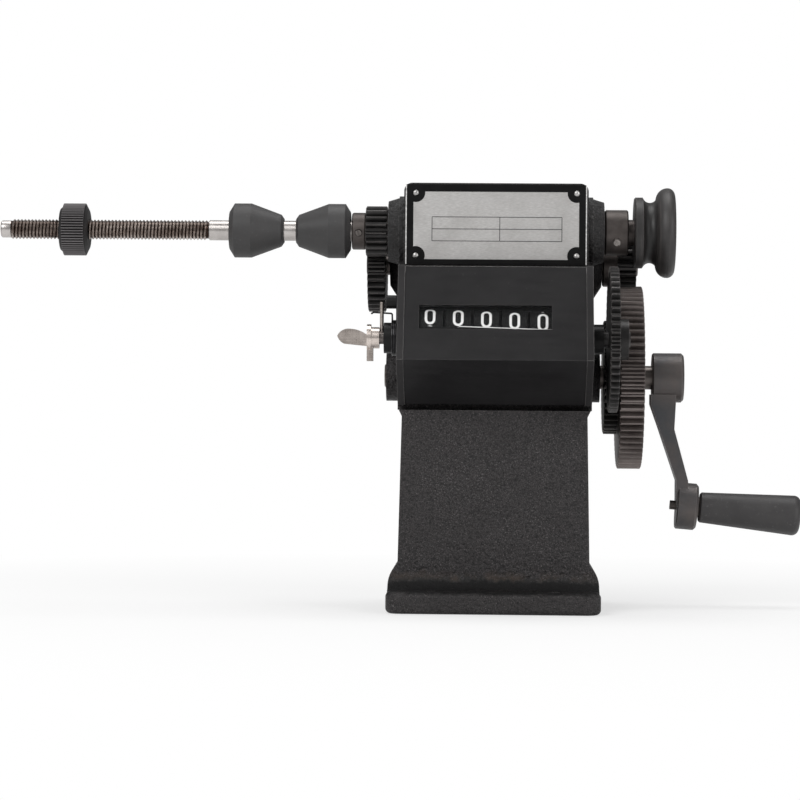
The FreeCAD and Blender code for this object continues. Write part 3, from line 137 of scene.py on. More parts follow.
# camera, lamps and surroundings
CAMERA_PLACE = (0.0003, -1.4757, 0.1044)
CAMERA_YAW, CAMERA_PITCH, CAMERA_ROLL = 1.859, -0.044, 0.471  # degrees
CAMERA_LENS, CAMERA_SENSOR = 132.15, 36  # millimetres
CAMERA_NEAR, CAMERA_FAR = 0.05, 100
LAMP_TARGET = (-0.02, 0, 0.1)
WORLD_LIGHT = 0.3
FLOOR_HALF_SIZE, FLOOR_HEIGHT = 30, -0.0002
FLOOR_GLOW = 0.12, 0.5, 0.6, 1.0  # near and far distance, and how white the floor is there


# ---- node trees

class NodeTree:
    """A node tree that is filled one node at a time."""

    def __init__(self, tree):
        self.tree = tree

    def add(self, kind, inputs=None, **settings):
        """A new node; its inputs, by name or number, take values or other nodes' outputs."""
        node = self.tree.nodes.new(kind)
        for key, setting in settings.items():
            setattr(node, key, setting)
        for key, source in (inputs or {}).items():
            if isinstance(source, bpy.types.NodeSocket):
                self.tree.links.new(source, node.inputs[key])
            else:
                node.inputs[key].default_value = source
        return node

    def sums(self, operation, one, two):
        return self.add("ShaderNodeMath", {0: one, 1: two}, operation=operation).outputs[0]

    def times(self, one, two):
        return self.sums("MULTIPLY", one, two)

    def larger(self, one, two):
        return self.sums("MAXIMUM", one, two)


class Finish(NodeTree):
    """A material under construction."""

    def __init__(self, name, **uniform):
        self.material = bpy.data.materials.new(name)
        self.material.use_nodes = True
        super().__init__(self.material.node_tree)
        self.tree.nodes.clear()
        self.shader = self.add("ShaderNodeBsdfPrincipled")
        self.output = self.add("ShaderNodeOutputMaterial", {"Surface": self.shader.outputs[0]})
        for label, number in uniform.items():
            socket = label.replace("_", " ").title().replace("Ior", "IOR")
            self.shader.inputs[socket].default_value = number
        self.here = self.add("ShaderNodeTexCoord").outputs["Object"]

    def along(self, axis, where=None):
        """The X, Y or Z of a vector, or of the object's own coordinates."""
        return self.add("ShaderNodeSeparateXYZ", {0: where or self.here}).outputs[axis]

    def stretched(self, scale, centre=(0, 0, 0)):
        """The object's own coordinates, moved to a centre and scaled along each axis."""
        moved = self.add("ShaderNodeVectorMath", {0: self.here, 1: tuple(centre)}, operation="SUBTRACT")
        return self.add("ShaderNodeVectorMath", {0: moved.outputs[0], 1: tuple(scale)},
                        operation="MULTIPLY").outputs[0]

    def noise(self, scale, detail=3.0, rough=0.55, where=None):
        return self.add("ShaderNodeTexNoise", {"Vector": where or self.here, "Scale": scale,
                                               "Detail": detail, "Roughness": rough}).outputs[0]

    def grains(self, scale):
        return self.add("ShaderNodeTexVoronoi", {"Vector": self.here, "Scale": scale}).outputs["Distance"]

    def ranged(self, number, low, high, to_low, to_high):
        return self.add("ShaderNodeMapRange", {"Value": number, "From Min": low, "From Max": high,
                                               "To Min": to_low, "To Max": to_high}).outputs[0]

    def mixed(self, amount, one, two):
        """The first colour turning into the second; a colour is three numbers or a node's output."""
        first, second = (tone if isinstance(tone, bpy.types.NodeSocket) else (*tone, 1.0) for tone in (one, two))
        return self.add("ShaderNodeMix", {0: amount, 6: first, 7: second}, data_type="RGBA").outputs[2]

    def relief(self, height, depth, strength=1.0, over=None):
        """A bumpy normal, on top of another where one is given."""
        inputs = {"Height": height, "Distance": depth, "Strength": strength}
        if over is not None:
            inputs["Normal"] = over
        return self.add("ShaderNodeBump", inputs).outputs[0]

    def edge_mask(self, width):
        """1 along the edges, 0 on flat or gently curved faces."""
        soft = self.add("ShaderNodeBevel", {"Radius": width}, samples=4).outputs[0]
        flat = self.add("ShaderNodeNewGeometry").outputs["Normal"]
        match = self.add("ShaderNodeVectorMath", {0: soft, 1: flat}, operation="DOT_PRODUCT").outputs["Value"]
        return self.ranged(self.sums("SUBTRACT", 1.0, match), *EDGE_BEND, 0.0, 1.0)

    def radius_from(self, centre):
        """Distance from the line along X through a point."""
        flat = self.stretched((0, 1, 1), centre)
        return self.add("ShaderNodeVectorMath", {0: flat}, operation="LENGTH").outputs["Value"]

    def done(self, colour=None, roughness=None, normal=None):
        for name, source in (("Base Color", colour), ("Roughness", roughness), ("Normal", normal)):
            if source is not None:
                self.tree.links.new(source, self.shader.inputs[name])
        return self.material


# ---- finishes

def rough_casting():
    """Sand casting under thin black paint: lumps, sharp grit, and painted glints, edge highlights and shade."""
    f = Finish("rough_black_casting", specular_ior_level=0.33)
    height = f.along("Z")
    unsteady = f.sums("ADD", height, f.ranged(f.noise(160, 3, 0.6), 0.3, 0.7, -1.5 * MM, 1.5 * MM))
    head = f.ranged(height, *HEAD_START, 0.0, 1.0)
    below = f.ranged(unsteady, *FOOT_GROOVE_END, 1.0, 0.0)
    groove = f.times(below, f.ranged(unsteady, *FOOT_GROOVE_START, 0.0, 1.0))
    lumps = f.noise(95, 4, 0.6)
    grit = f.noise(800, 3, 0.7)
    pits = f.ranged(f.grains(420), 0.0, 0.5, 0.0, 1.0)
    crowding = f.ranged(f.noise(28, 4, 0.65), 0.35, 0.65, 0.3, 1.0)
    # the glints and the fine mottle fade where the head and the foot's groove get painted shade
    unshaded = f.times(f.ranged(head, 0.0, 1.0, 1.0, 0.45), f.ranged(groove, 0.0, 1.0, 1.0, 0.12))
    # painted glints: sparse pale specks on the grains
    glint_specks = f.times(f.ranged(f.noise(1300, 3, 0.85), 0.57, 0.7, 0.0, 1.0), f.times(crowding, unshaded))
    mottle = f.times(f.ranged(f.noise(2100, 2, 0.8), 0.36, 0.66, 0.0, 1.0), unshaded)
    # painted shade on the head, in the foot's groove and in the grit's hollows
    shade = f.larger(f.ranged(head, 0.0, 1.0, 0.0, 0.6), groove)
    hollows = f.ranged(grit, 0.36, 0.5, 1.0, 0.0)
    edge = f.edge_mask(0.9 * MM)
    colour = f.mixed(mottle, (0.0045, 0.004, 0.0041), (0.047, 0.0415, 0.0425))
    colour = f.mixed(f.larger(shade, hollows), colour, (0.0045, 0.0042, 0.0043))
    colour = f.mixed(glint_specks, colour, (0.2, 0.187, 0.187))
    # painted highlight along the edges, broken up by the grit
    colour = f.mixed(f.times(edge, f.ranged(grit, 0.42, 0.66, 0.0, 0.7)), colour, (0.12, 0.115, 0.113))
    rusty = f.times(f.ranged(unsteady, *RUST_START, 0.0, 1.0), f.ranged(unsteady, *RUST_END, 0.4, 0.0))
    patches = f.times(rusty, f.ranged(f.noise(60, 3), 0.45, 0.6, 0.0, 1.0))
    colour = f.mixed(patches, colour, (0.06, 0.036, 0.02))
    normal = f.relief(lumps, 1.6 * MM, 1.0)
    normal = f.relief(pits, 0.32 * MM, 0.9, normal)
    normal = f.relief(grit, 0.55 * MM, 1.0, normal)
    roughness = f.larger(f.ranged(grit, 0.3, 0.7, 0.34, 0.62), f.times(groove, 0.75))
    return f.done(colour, roughness, normal)


def satin_black(name, dark, light, edge_tone, bosses_from=None, highlight_above=None):
    """Sheet metal under smooth satin black paint, with a broken painted highlight along its edges."""
    f = Finish(name, specular_ior_level=0.22)
    peel = f.noise(420, 2)
    scuffs = f.noise(1.0, 6, 0.6, f.stretched((60, 60, 400)))
    scratches = f.ranged(f.noise(1.0, 2, 0.5, f.stretched((900, 900, 160))), 0.7, 0.78, 0.0, 0.35)
    # painted highlight along the edges, broken up by noise
    edge = f.times(f.edge_mask(0.55 * MM), f.ranged(f.noise(300, 4, 0.7), 0.3, 0.6, 0.45, 1.0))
    colour = f.mixed(f.ranged(f.noise(30, 4, 0.6), 0.35, 0.68, 0.0, 1.0), dark, light)
    colour = f.mixed(scratches, colour, (0.05, 0.048, 0.048))
    dust = f.ranged(f.noise(700, 3, 0.8), 0.735, 0.76, 0.0, 0.6)
    colour = f.mixed(dust, colour, (0.2, 0.195, 0.19))
    if highlight_above:
        # the top edges keep the full painted highlight, lower ones a tenth of it
        edge = f.times(edge, f.ranged(f.along("Z"), highlight_above - 1.0 * MM, highlight_above, 0.1, 1.0))
    colour = f.mixed(edge, colour, edge_tone)
    if bosses_from:
        across = f.sums("ABSOLUTE", f.along("X"), 0.0)
        boss = f.mixed(scuffs, (0.006, 0.006, 0.006), (0.012, 0.0115, 0.012))
        colour = f.mixed(f.ranged(across, bosses_from, bosses_from + 0.3 * MM, 0.0, 1.0), colour, boss)
    return f.done(colour, f.ranged(scuffs, 0.35, 0.7, 0.36, 0.52), f.relief(peel, 0.05 * MM, 0.6))


def plate_border():
    """Black enamel on the plate's face, unpainted aluminium on its sheared edges, and a painted highlight at its
    sides.
    """
    f = Finish("black_plate_enamel", specular_ior_level=0.15)
    facing_out = f.along("Y", f.add("ShaderNodeNewGeometry").outputs["True Normal"])
    sheared = f.ranged(f.sums("ABSOLUTE", facing_out, 0.0), 0.4, 0.6, 1.0, 0.0)
    across = f.sums("ABSOLUTE", f.along("X"), 0.0)
    # a broken painted highlight along the plate's left and right edges
    side_highlight = f.times(f.ranged(across, *PLATE_SIDE_HIGHLIGHT, 0.0, 1.0),
                    f.ranged(f.noise(500, 3, 0.7), 0.35, 0.6, 0.45, 1.0))
    colour = f.mixed(f.noise(60, 2), (0.0035, 0.0034, 0.0035), (0.007, 0.0068, 0.007))
    colour = f.mixed(f.larger(sheared, side_highlight), colour, (0.75, 0.74, 0.73))
    return f.done(colour, f.ranged(f.noise(150, 3), 0.3, 0.7, 0.28, 0.42),
                  f.relief(f.noise(300, 2), 0.03 * MM, 0.4))


def brushed_plate():
    """Matt rolled aluminium with a fine grain along the plate."""
    f = Finish("brushed_aluminium_plate", metallic=0.55)
    grain = f.noise(1.0, 5, 0.65, f.stretched((500, 900, 2600)))
    stains = f.noise(70, 4, 0.6)
    colour = f.mixed(f.ranged(grain, 0.3, 0.7, 0.0, 1.0), (0.42, 0.41, 0.4), (0.58, 0.57, 0.56))
    colour = f.mixed(f.ranged(stains, 0.45, 0.75, 0.0, 0.45), colour, (0.33, 0.315, 0.305))
    return f.done(colour, f.ranged(grain, 0.3, 0.7, 0.38, 0.55), f.relief(grain, 0.03 * MM, 0.4))


def printed_black():
    """Thin black ink."""
    f = Finish("printed_black_lines")
    return f.done(f.mixed(f.noise(400, 2), (0.02, 0.02, 0.02), (0.05, 0.05, 0.05)),
                  f.ranged(f.noise(200, 2), 0.3, 0.7, 0.45, 0.6))


def machined_steel(name, dark, light, metallic=1.0, axis=SPINDLE_AXIS, smooth=0.24, rough=0.4, depth=0.02,
                   edge_highlight=None, streaks=None, groove=None):
    """Turned steel: fine rings round the shaft's axis, with cloudy variation; depth is in millimetres."""
    f = Finish(name, metallic=metallic)
    rings = f.noise(1.0, 4, 0.6, f.stretched((3200, 60, 60), axis))
    clouds = f.noise(90, 4, 0.6)
    radius = f.radius_from(axis)
    face_rings = f.add("ShaderNodeTexNoise", {"W": f.times(radius, 2600), "Scale": 1.0, "Detail": 4.0},
                       noise_dimensions="1D").outputs[0]
    marks = f.sums("ADD", f.times(rings, 0.5), f.times(face_rings, 0.5))
    colour = f.mixed(f.ranged(clouds, 0.3, 0.7, 0.0, 1.0), dark, light)
    if streaks:
        bands = f.noise(1.0, 3, 0.7, f.stretched((1100, 25, 25), axis))
        specks = f.ranged(f.noise(900, 3, 0.8), 0.6, 0.72, 0.0, 0.5)
        colour = f.mixed(f.larger(f.ranged(bands, 0.54, 0.68, 0.0, 0.8), specks), colour, streaks)
    # painted shade towards the middle of the pulley, in its groove
    if groove:
        colour = f.mixed(f.ranged(radius, *groove, 0.75, 0.0), colour, tuple(0.2 * tone for tone in dark))
    # painted highlight along the edges
    if edge_highlight:
        colour = f.mixed(f.ranged(f.edge_mask(0.35 * MM), 0.0, 1.0, 0.0, 0.8), colour, edge_highlight)
    return f.done(colour, f.ranged(f.sums("ADD", marks, f.times(clouds, 0.4)), 0.5, 0.95, smooth, rough),
                  f.relief(marks, depth * MM, 0.6))


def threaded_steel():
    """Bright crests, turning dark brown towards the roots."""
    f = Finish("threaded_steel", metallic=1.0)
    height = f.ranged(f.radius_from(SPINDLE_AXIS), THREAD_ROOT + 0.12 * MM, THREAD_ROOT + 0.5 * MM, 0.0, 1.0)
    tone = f.noise(1.0, 4, 0.6, f.stretched((28, 200, 200)))
    crest = f.mixed(f.ranged(tone, 0.35, 0.65, 0.0, 1.0), (0.26, 0.21, 0.185), (0.66, 0.6, 0.56))
    colour = f.mixed(height, (0.03, 0.018, 0.014), crest)
    return f.done(colour, f.ranged(f.noise(700, 3), 0.3, 0.7, 0.22, 0.42))


def rubbed_black(name, dark, light, smooth, rough, depth=0.05, specks=0.35, gloss=0.5):
    """Dark matt finish with a fine grain, pale specks and rubbed edges; depth is in millimetres."""
    f = Finish(name, specular_ior_level=gloss)
    grain = f.noise(1400, 3, 0.6)
    clouds = f.noise(60, 4, 0.6)
    dust = f.ranged(f.noise(620, 4, 0.75), 0.6, 0.72, 0.0, specks)
    edge = f.edge_mask(0.5 * MM)
    colour = f.mixed(f.ranged(clouds, 0.3, 0.7, 0.0, 1.0), dark, light)
    colour = f.mixed(dust, colour, tuple(2.6 * tone for tone in light))
    colour = f.mixed(f.ranged(edge, 0.0, 1.0, 0.0, 0.35), colour, tuple(3.0 * tone for tone in light))
    return f.done(colour, f.ranged(clouds, 0.3, 0.7, smooth, rough), f.relief(grain, depth * MM, 0.6))


def knurled_black():
    """Blacked steel with painted shade in the bottoms of its flutes and a painted highlight on their crests."""
    f = Finish("oiled_black_nut", specular_ior_level=0.2)
    crest = f.ranged(f.radius_from(SPINDLE_AXIS), NUT_RADIUS - 0.65 * MM, NUT_RADIUS - 0.25 * MM, 0.0, 1.0)
    clouds = f.noise(70, 4, 0.6)
    # the crests get a painted highlight, the flutes' bottoms near-black painted shade
    rubbed = f.mixed(clouds, (0.12, 0.113, 0.115), (0.175, 0.165, 0.168))
    colour = f.mixed(crest, (0.0015, 0.0014, 0.0014), rubbed)
    face = f.ranged(f.radius_from(SPINDLE_AXIS), NUT_RADIUS - 1.4 * MM, NUT_RADIUS - 1.1 * MM, 1.0, 0.0)
    colour = f.mixed(face, colour, f.mixed(clouds, (0.016, 0.0152, 0.0156), (0.026, 0.0248, 0.0252)))
    return f.done(colour, f.ranged(clouds, 0.3, 0.7, 0.42, 0.56),
                  f.relief(f.noise(1400, 3, 0.6), 0.05 * MM, 0.6))


def bare_casting():
    """The crank's fettled and lightly oiled casting, blue-grey with brown patches."""
    f = Finish("crank_casting", metallic=0.55)
    patches = f.noise(45, 4, 0.6)
    grit = f.noise(650, 4, 0.65)
    colour = f.mixed(f.ranged(patches, 0.38, 0.66, 0.0, 1.0), (0.066, 0.068, 0.073), (0.1, 0.088, 0.084))
    colour = f.mixed(f.ranged(f.edge_mask(0.6 * MM), 0.0, 1.0, 0.0, 0.5), colour, (0.3, 0.28, 0.27))
    return f.done(colour, f.ranged(grit, 0.3, 0.7, 0.36, 0.52), f.relief(grit, 0.1 * MM, 0.5))


def clear_pane():
    """Thin clear plastic: nearly all of it is seen through, and its surface keeps a faint gloss."""
    f = Finish("clear_window", alpha=0.06)
    return f.done(f.mixed(f.noise(160, 3), (0.03, 0.032, 0.033), (0.075, 0.078, 0.08)),
                  f.ranged(f.noise(120, 2), 0.3, 0.7, 0.18, 0.3))


def figure_white():
    """Flat white paint, slightly uneven."""
    # the same white serves the figures and the window's painted glint
    f = Finish("white_figures")
    return f.done(f.mixed(f.noise(250, 3), (1.0, 1.0, 0.99), (0.92, 0.92, 0.91)),
                  f.ranged(f.noise(200, 2), 0.3, 0.7, 0.4, 0.55))


def bronze_bush():
    """Porous bearing bronze."""
    f = Finish("bearing_bronze", metallic=1.0)
    pores = f.grains(900)
    return f.done(f.mixed(f.noise(120, 3), (0.42, 0.26, 0.11), (0.6, 0.4, 0.18)),
                  f.ranged(pores, 0.0, 0.6, 0.45, 0.3), f.relief(pores, 0.04 * MM, 0.5))


FINISHES = {
    "casting": rough_casting(),
    # the cover's edge tone is a painted highlight, kept to its top edges
    "cover": satin_black("satin_black_paint", (0.0105, 0.01, 0.0107), (0.0155, 0.0148, 0.0155), (0.4, 0.39, 0.38),
                         highlight_above=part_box("counter_cover")[1].z - COVER_TOP_BAND),
    # the end plates take a lighter copy of the cover's paint as a painted highlight on their proud strips, and a
    # painted edge highlight
    "end": satin_black("end_plate_paint", (0.017, 0.016, 0.0165), (0.026, 0.0245, 0.025), (0.16, 0.155, 0.152),
                       bosses_from=END_PLATE_FACE),
    "border": plate_border(),
    "plate": brushed_plate(),
    "print": printed_black(),
    "rivet": machined_steel("rivet_aluminium", (0.4, 0.39, 0.385), (0.56, 0.55, 0.54), smooth=0.3, rough=0.5),
    "bright": machined_steel("ground_steel", (0.4, 0.375, 0.36), (0.58, 0.55, 0.53)),
    "dull": machined_steel("dull_steel", (0.1, 0.09, 0.085), (0.2, 0.18, 0.17), 0.9, smooth=0.3, rough=0.48),
    "screw": machined_steel("oiled_screw_steel", (0.22, 0.2, 0.19), (0.4, 0.37, 0.35), 0.9, smooth=0.3, rough=0.5),
    "crank_steel": machined_steel("oiled_crank_steel", (0.1, 0.088, 0.082), (0.18, 0.16, 0.15), 0.9,
                                  axis=CRANK_AXIS),
    "collar": machined_steel("browned_collar_steel", (0.056, 0.048, 0.045), (0.108, 0.094, 0.088), 0.8,
                             smooth=0.36, rough=0.54),
    "thread": threaded_steel(),
    # the edge tones of the gears, the pulley and the nickel parts are painted highlights
    "crank_gear": machined_steel("browned_gear_steel", (0.13, 0.11, 0.104), (0.22, 0.19, 0.18), 0.85,
                                 axis=CRANK_AXIS, smooth=0.33, rough=0.52, depth=0.05,
                                 edge_highlight=(0.42, 0.38, 0.36)),
    "black_gear": machined_steel("blackened_gear_steel", (0.024, 0.023, 0.023), (0.052, 0.05, 0.049), 0.7,
                                 axis=COUNTERSHAFT_AXIS, smooth=0.3, rough=0.5, depth=0.05,
                                 edge_highlight=(0.2, 0.185, 0.18)),
    "drive_gear": machined_steel("dark_gear_steel", (0.016, 0.015, 0.0145), (0.034, 0.0315, 0.0305), 0.75,
                                 axis=CRANK_AXIS, smooth=0.32, rough=0.5, depth=0.05,
                                 edge_highlight=(0.42, 0.39, 0.37)),
    "cone": rubbed_black("matt_grey_cone", (0.028, 0.027, 0.0272), (0.042, 0.04, 0.0402), 0.5, 0.62),
    "nut": knurled_black(),
    # the pulley gets painted shade in its groove
    "pulley": machined_steel("turned_black_pulley", (0.021, 0.0195, 0.0192), (0.034, 0.031, 0.0305), 0.1,
                             smooth=0.38, rough=0.56, depth=0.09, edge_highlight=(0.17, 0.155, 0.15),
                             streaks=(0.08, 0.071, 0.068), groove=PULLEY_GROOVE),
    "grip": rubbed_black("grip_plastic", (0.0225, 0.021, 0.0216), (0.041, 0.0385, 0.039), 0.42, 0.6,
                         depth=0.04, specks=0.7),
    "wheel": rubbed_black("number_wheel_black", (0.006, 0.006, 0.006), (0.011, 0.011, 0.011), 0.5, 0.65,
                          depth=0.02, specks=0.1, gloss=0.12),
    "arm": bare_casting(),
    "pane": clear_pane(),
    "white": figure_white(),
    "bronze": bronze_bush(),
    "nickel": machined_steel("nickel_plate", (0.5, 0.44, 0.4), (0.74, 0.665, 0.615), smooth=0.2, rough=0.42,
                             edge_highlight=(0.85, 0.78, 0.73)),
    "spring": machined_steel("blued_spring_steel", (0.03, 0.03, 0.032), (0.06, 0.058, 0.06), 0.9,
                             smooth=0.25, rough=0.4),
}

# the CAD nodes that stay in sight, by finish
DRESSED_NODES = {
    "casting": ["stand_casting"],
    "border": ["name_plate"],
    "bronze": ["spindle_bush_left", "spindle_bush_right", "countershaft_bush_left", "countershaft_bush_right",
               "crank_bush_left", "crank_bush_right", "carry_pinions"],
    "collar": ["left_collar", "right_collar", "pulley_lock_nut", "countershaft_collar", "handle_pin"],
    "pulley": ["belt_pulley"],
    "cone": ["outer_cone", "inner_cone"],
    "crank_gear": ["crank_gear"],
    "drive_gear": ["counter_drive_gear"],
    "black_gear": ["countershaft_pinion", "countershaft_gear", "spindle_gear", "counter_gear", "counter_shaft"],
    "dull": ["countershaft", "reset_shaft", "carry_bar"],
    "crank_steel": ["crank_shaft", "crank_shaft_ring"],
    "arm": ["crank_arm"],
    "grip": ["handle_grip"],
    "cover": ["counter_cover"],
    "pane": ["counter_window"],
    "end": ["counter_end_plate_left", "counter_end_plate_right"],
    "wheel": [node for node, _ in WHEELS] + ["carry_plates"],
    "nickel": ["reset_pin", "wing_nut"],
}


def dress_frame():
    """Give each CAD node that stays in sight its finish."""
    for finish, nodes in DRESSED_NODES.items():
        for node in nodes:
            for holder in frame["nodes"][node].material_slots:
                holder.material = FINISHES[finish]



# ---- making pieces

def finished(name, mesh, finish, body, replaced=(), sharp=35):
    """Turn a mesh into a piece: finish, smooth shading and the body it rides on."""
    mesh.name = name
    item = bpy.data.objects.new(name, mesh)
    bpy.context.collection.objects.link(item)
    if not mesh.materials:
        mesh.materials.append(FINISHES[finish])
    mesh.shade_smooth()
    mesh.set_sharp_from_angle(angle=math.radians(sharp))
    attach(item, body)
    if replaced:
        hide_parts(*replaced)


def mesh_of(shape):
    """A plain mesh with its doubles merged and its faces outwards."""
    bmesh.ops.remove_doubles(shape, verts=shape.verts, dist=1e-7)
    bmesh.ops.recalc_face_normals(shape, faces=shape.faces)
    mesh = bpy.data.meshes.new("shape")
    shape.to_mesh(mesh)
    shape.free()
    return mesh


def turned(profile, axis, steps=72):
    """A lathe shape about a line along X, from (x, radius) corners; a radius of 0 closes an end."""
    shape = bmesh.new()
    rings = []
    for along, radius in profile:
        count = 1 if radius == 0 else steps
        rings.append([shape.verts.new((along, axis.y + radius * math.cos(math.tau * step / steps),
                                       axis.z + radius * math.sin(math.tau * step / steps)))
                      for step in range(count)])
    for one, two in zip(rings, rings[1:]):
        for step in range(steps):
            corners = [one[step % len(one)], one[(step + 1) % len(one)],
                       two[(step + 1) % len(two)], two[step % len(two)]]
            unique = list(dict.fromkeys(corners))
            if len(unique) > 2:
                shape.faces.new(unique)
    return shape


def skin(shape, sections, closed=False):
    """Four sides from each section of corners to the next, and a cap on each open end."""
    following = sections[1:] + sections[:1] if closed else sections[1:]
    for one, two in zip(sections, following):
        for side in range(4):
            shape.faces.new([one[side], one[(side + 1) % 4], two[(side + 1) % 4], two[side]])
    if not closed:
        shape.faces.new(sections[0])
        shape.faces.new(sections[-1])


def ribbon(shape, points, width, place, closed=False):
    """A flat raised stripe along points; place(across, up, lift) puts a corner on its surface."""
    count = len(points)
    sections = []
    for index, point in enumerate(points):
        before = points[index - 1] if closed or index else point
        after = points[(index + 1) % count] if closed or index < count - 1 else point
        into, out = (point - before), (after - point)
        into = into.normalized() if into.length else out.normalized()
        out = out.normalized() if out.length else into
        along = (into + out).normalized()
        side = Vector((-along.y, along.x)) * (width / 2 / max(along.dot(into), 0.5))
        left, right = point + side, point - side
        sections.append([shape.verts.new(place(corner.x, corner.y, lift))
                         for corner, lift in ((left, 1), (right, 1), (right, -1), (left, -1))])
    skin(shape, sections, closed)


# ---- geometry node makers

class Maker(NodeTree):
    """A geometry node tree with named inputs; it ends in Realize Instances and Set Material."""

    def __init__(self, name, **sizes):
        super().__init__(bpy.data.node_groups.new(name, "GeometryNodeTree"))
        self.tree.interface.new_socket("Path", in_out="INPUT", socket_type="NodeSocketGeometry")
        self.keys = {}
        for label, default in list(sizes.items()) + [("finish", None)]:
            kind = ("NodeSocketMaterial" if label == "finish" else
                    "NodeSocketInt" if isinstance(default, int) else "NodeSocketFloat")
            socket = self.tree.interface.new_socket(label, in_out="INPUT", socket_type=kind)
            if default is not None:
                socket.default_value = default
            self.keys[label] = socket.identifier
        self.tree.interface.new_socket("Mesh", in_out="OUTPUT", socket_type="NodeSocketGeometry")
        self.given = self.tree.nodes.new("NodeGroupInput").outputs

    def vector(self, x=0.0, y=0.0, z=0.0):
        return self.add("ShaderNodeCombineXYZ", {0: x, 1: y, 2: z}).outputs[0]

    def moved(self, shape, **change):
        """The shape after a Translation, Rotation or Scale."""
        return self.add("GeometryNodeTransform", {"Geometry": shape, **change}).outputs[0]

    def swept(self, curve, section):
        return self.add("GeometryNodeCurveToMesh", {"Curve": curve, "Profile Curve": section,
                                                    "Fill Caps": True}).outputs[0]

    def end(self, shape):
        real = self.add("GeometryNodeRealizeInstances", {0: shape})
        painted = self.add("GeometryNodeSetMaterial", {"Geometry": real.outputs[0],
                                                       "Material": self.given["finish"]})
        self.add("NodeGroupOutput", {0: painted.outputs[0]})
        return self

    def make(self, finish, path=None, **sizes):
        """The plain mesh that the tree makes from these sizes."""
        item = bpy.data.objects.new("maker", path or bpy.data.meshes.new("path"))
        bpy.context.collection.objects.link(item)
        modifier = item.modifiers.new("maker", "NODES")
        modifier.node_group = self.tree
        for label, number in {**sizes, "finish": FINISHES[finish]}.items():
            modifier[self.keys[label]] = number
        graph = bpy.context.evaluated_depsgraph_get()
        mesh = bpy.data.meshes.new_from_object(item.evaluated_get(graph), depsgraph=graph)
        item.modifiers.remove(modifier)
        bpy.data.objects.remove(item)
        return mesh


def thread_maker():
    """A ridge wound along X from the origin."""
    maker = Maker("screw_thread", pitch=THREAD_PITCH, root=THREAD_ROOT, crest=THREAD_CREST, length=0.1)
    given = maker.given
    turns = maker.sums("DIVIDE", given["length"], given["pitch"])
    helix = maker.add("GeometryNodeCurveSpiral", {"Resolution": 28, "Rotations": turns,
                                                  "Start Radius": given["root"], "End Radius": given["root"],
                                                  "Height": given["length"]})
    upright = maker.add("GeometryNodeSetCurveNormal", {"Curve": helix.outputs[0]}, mode="Z_UP")
    depth = maker.sums("SUBTRACT", given["crest"], given["root"])
    half = maker.times(given["pitch"], 0.47)
    ridge = maker.add("GeometryNodeCurvePrimitiveQuadrilateral",
                      {"Width": maker.times(depth, 2.0), "Bottom Height": half, "Top Height": half},
                      mode="KITE")
    wound = maker.swept(upright.outputs[0], ridge.outputs[0])
    return maker.end(maker.moved(wound, Rotation=(0, math.pi / 2, 0)))


def flute_maker():
    """A prism with straight flutes round it, along X from the origin."""
    maker = Maker("straight_knurl", flutes=56, root=0.0125, crest=0.013, length=0.01)
    given = maker.given
    star = maker.add("GeometryNodeCurveStar", {"Points": given["flutes"], "Inner Radius": given["root"],
                                               "Outer Radius": given["crest"]})
    axis = maker.add("GeometryNodeCurvePrimitiveLine", {"End": maker.vector(x=given["length"])})
    return maker.end(maker.swept(axis.outputs[0], star.outputs[0]))


def rivet_maker():
    """Four low domes at the corners of a rectangle in the XZ plane."""
    maker = Maker("plate_rivets", across=0.08, up=0.03, radius=0.0018, height=0.0008)
    given = maker.given
    corners = maker.add("GeometryNodeMeshGrid", {"Size X": given["across"], "Size Y": given["up"],
                                                 "Vertices X": 2, "Vertices Y": 2})
    dome = maker.add("GeometryNodeMeshUVSphere", {"Segments": 24, "Rings": 12, "Radius": 1.0})
    low = maker.moved(dome.outputs[0], Scale=maker.vector(given["radius"], given["radius"], given["height"]))
    placed = maker.add("GeometryNodeInstanceOnPoints", {"Points": corners.outputs[0], "Instance": low})
    return maker.end(maker.moved(placed.outputs[0], Rotation=(math.pi / 2, 0, 0)))


def screw_maker():
    """A round screw head or grub screw along Z with a slot across its top, which lies at the origin."""
    maker = Maker("slotted_screw", radius=0.002, length=0.004, slot=0.0006, depth=0.0008)
    given = maker.given
    body = maker.add("GeometryNodeMeshCylinder", {"Vertices": 32, "Radius": given["radius"],
                                                  "Depth": given["length"]})
    down = maker.vector(z=maker.times(given["length"], -0.5))
    sunk = maker.moved(body.outputs["Mesh"], Translation=down)
    slot_size = maker.vector(maker.times(given["radius"], 4.0), given["slot"], maker.times(given["depth"], 2.0))
    cutter = maker.add("GeometryNodeMeshCube", {"Size": slot_size})
    slotted = maker.add("GeometryNodeMeshBoolean", {"Mesh 1": sunk, "Mesh 2": cutter.outputs["Mesh"]},
                        operation="DIFFERENCE", solver="EXACT")
    return maker.end(slotted.outputs[0])


def wire_maker():
    """Round wire along the path that the object holds as edges."""
    maker = Maker("bent_wire", radius=0.00045)
    route = maker.add("GeometryNodeMeshToCurve", {0: maker.given["Path"]})
    section = maker.add("GeometryNodeCurvePrimitiveCircle", {"Resolution": 10, "Radius": maker.given["radius"]})
    return maker.end(maker.swept(route.outputs[0], section.outputs[0]))


# ---- spindle line

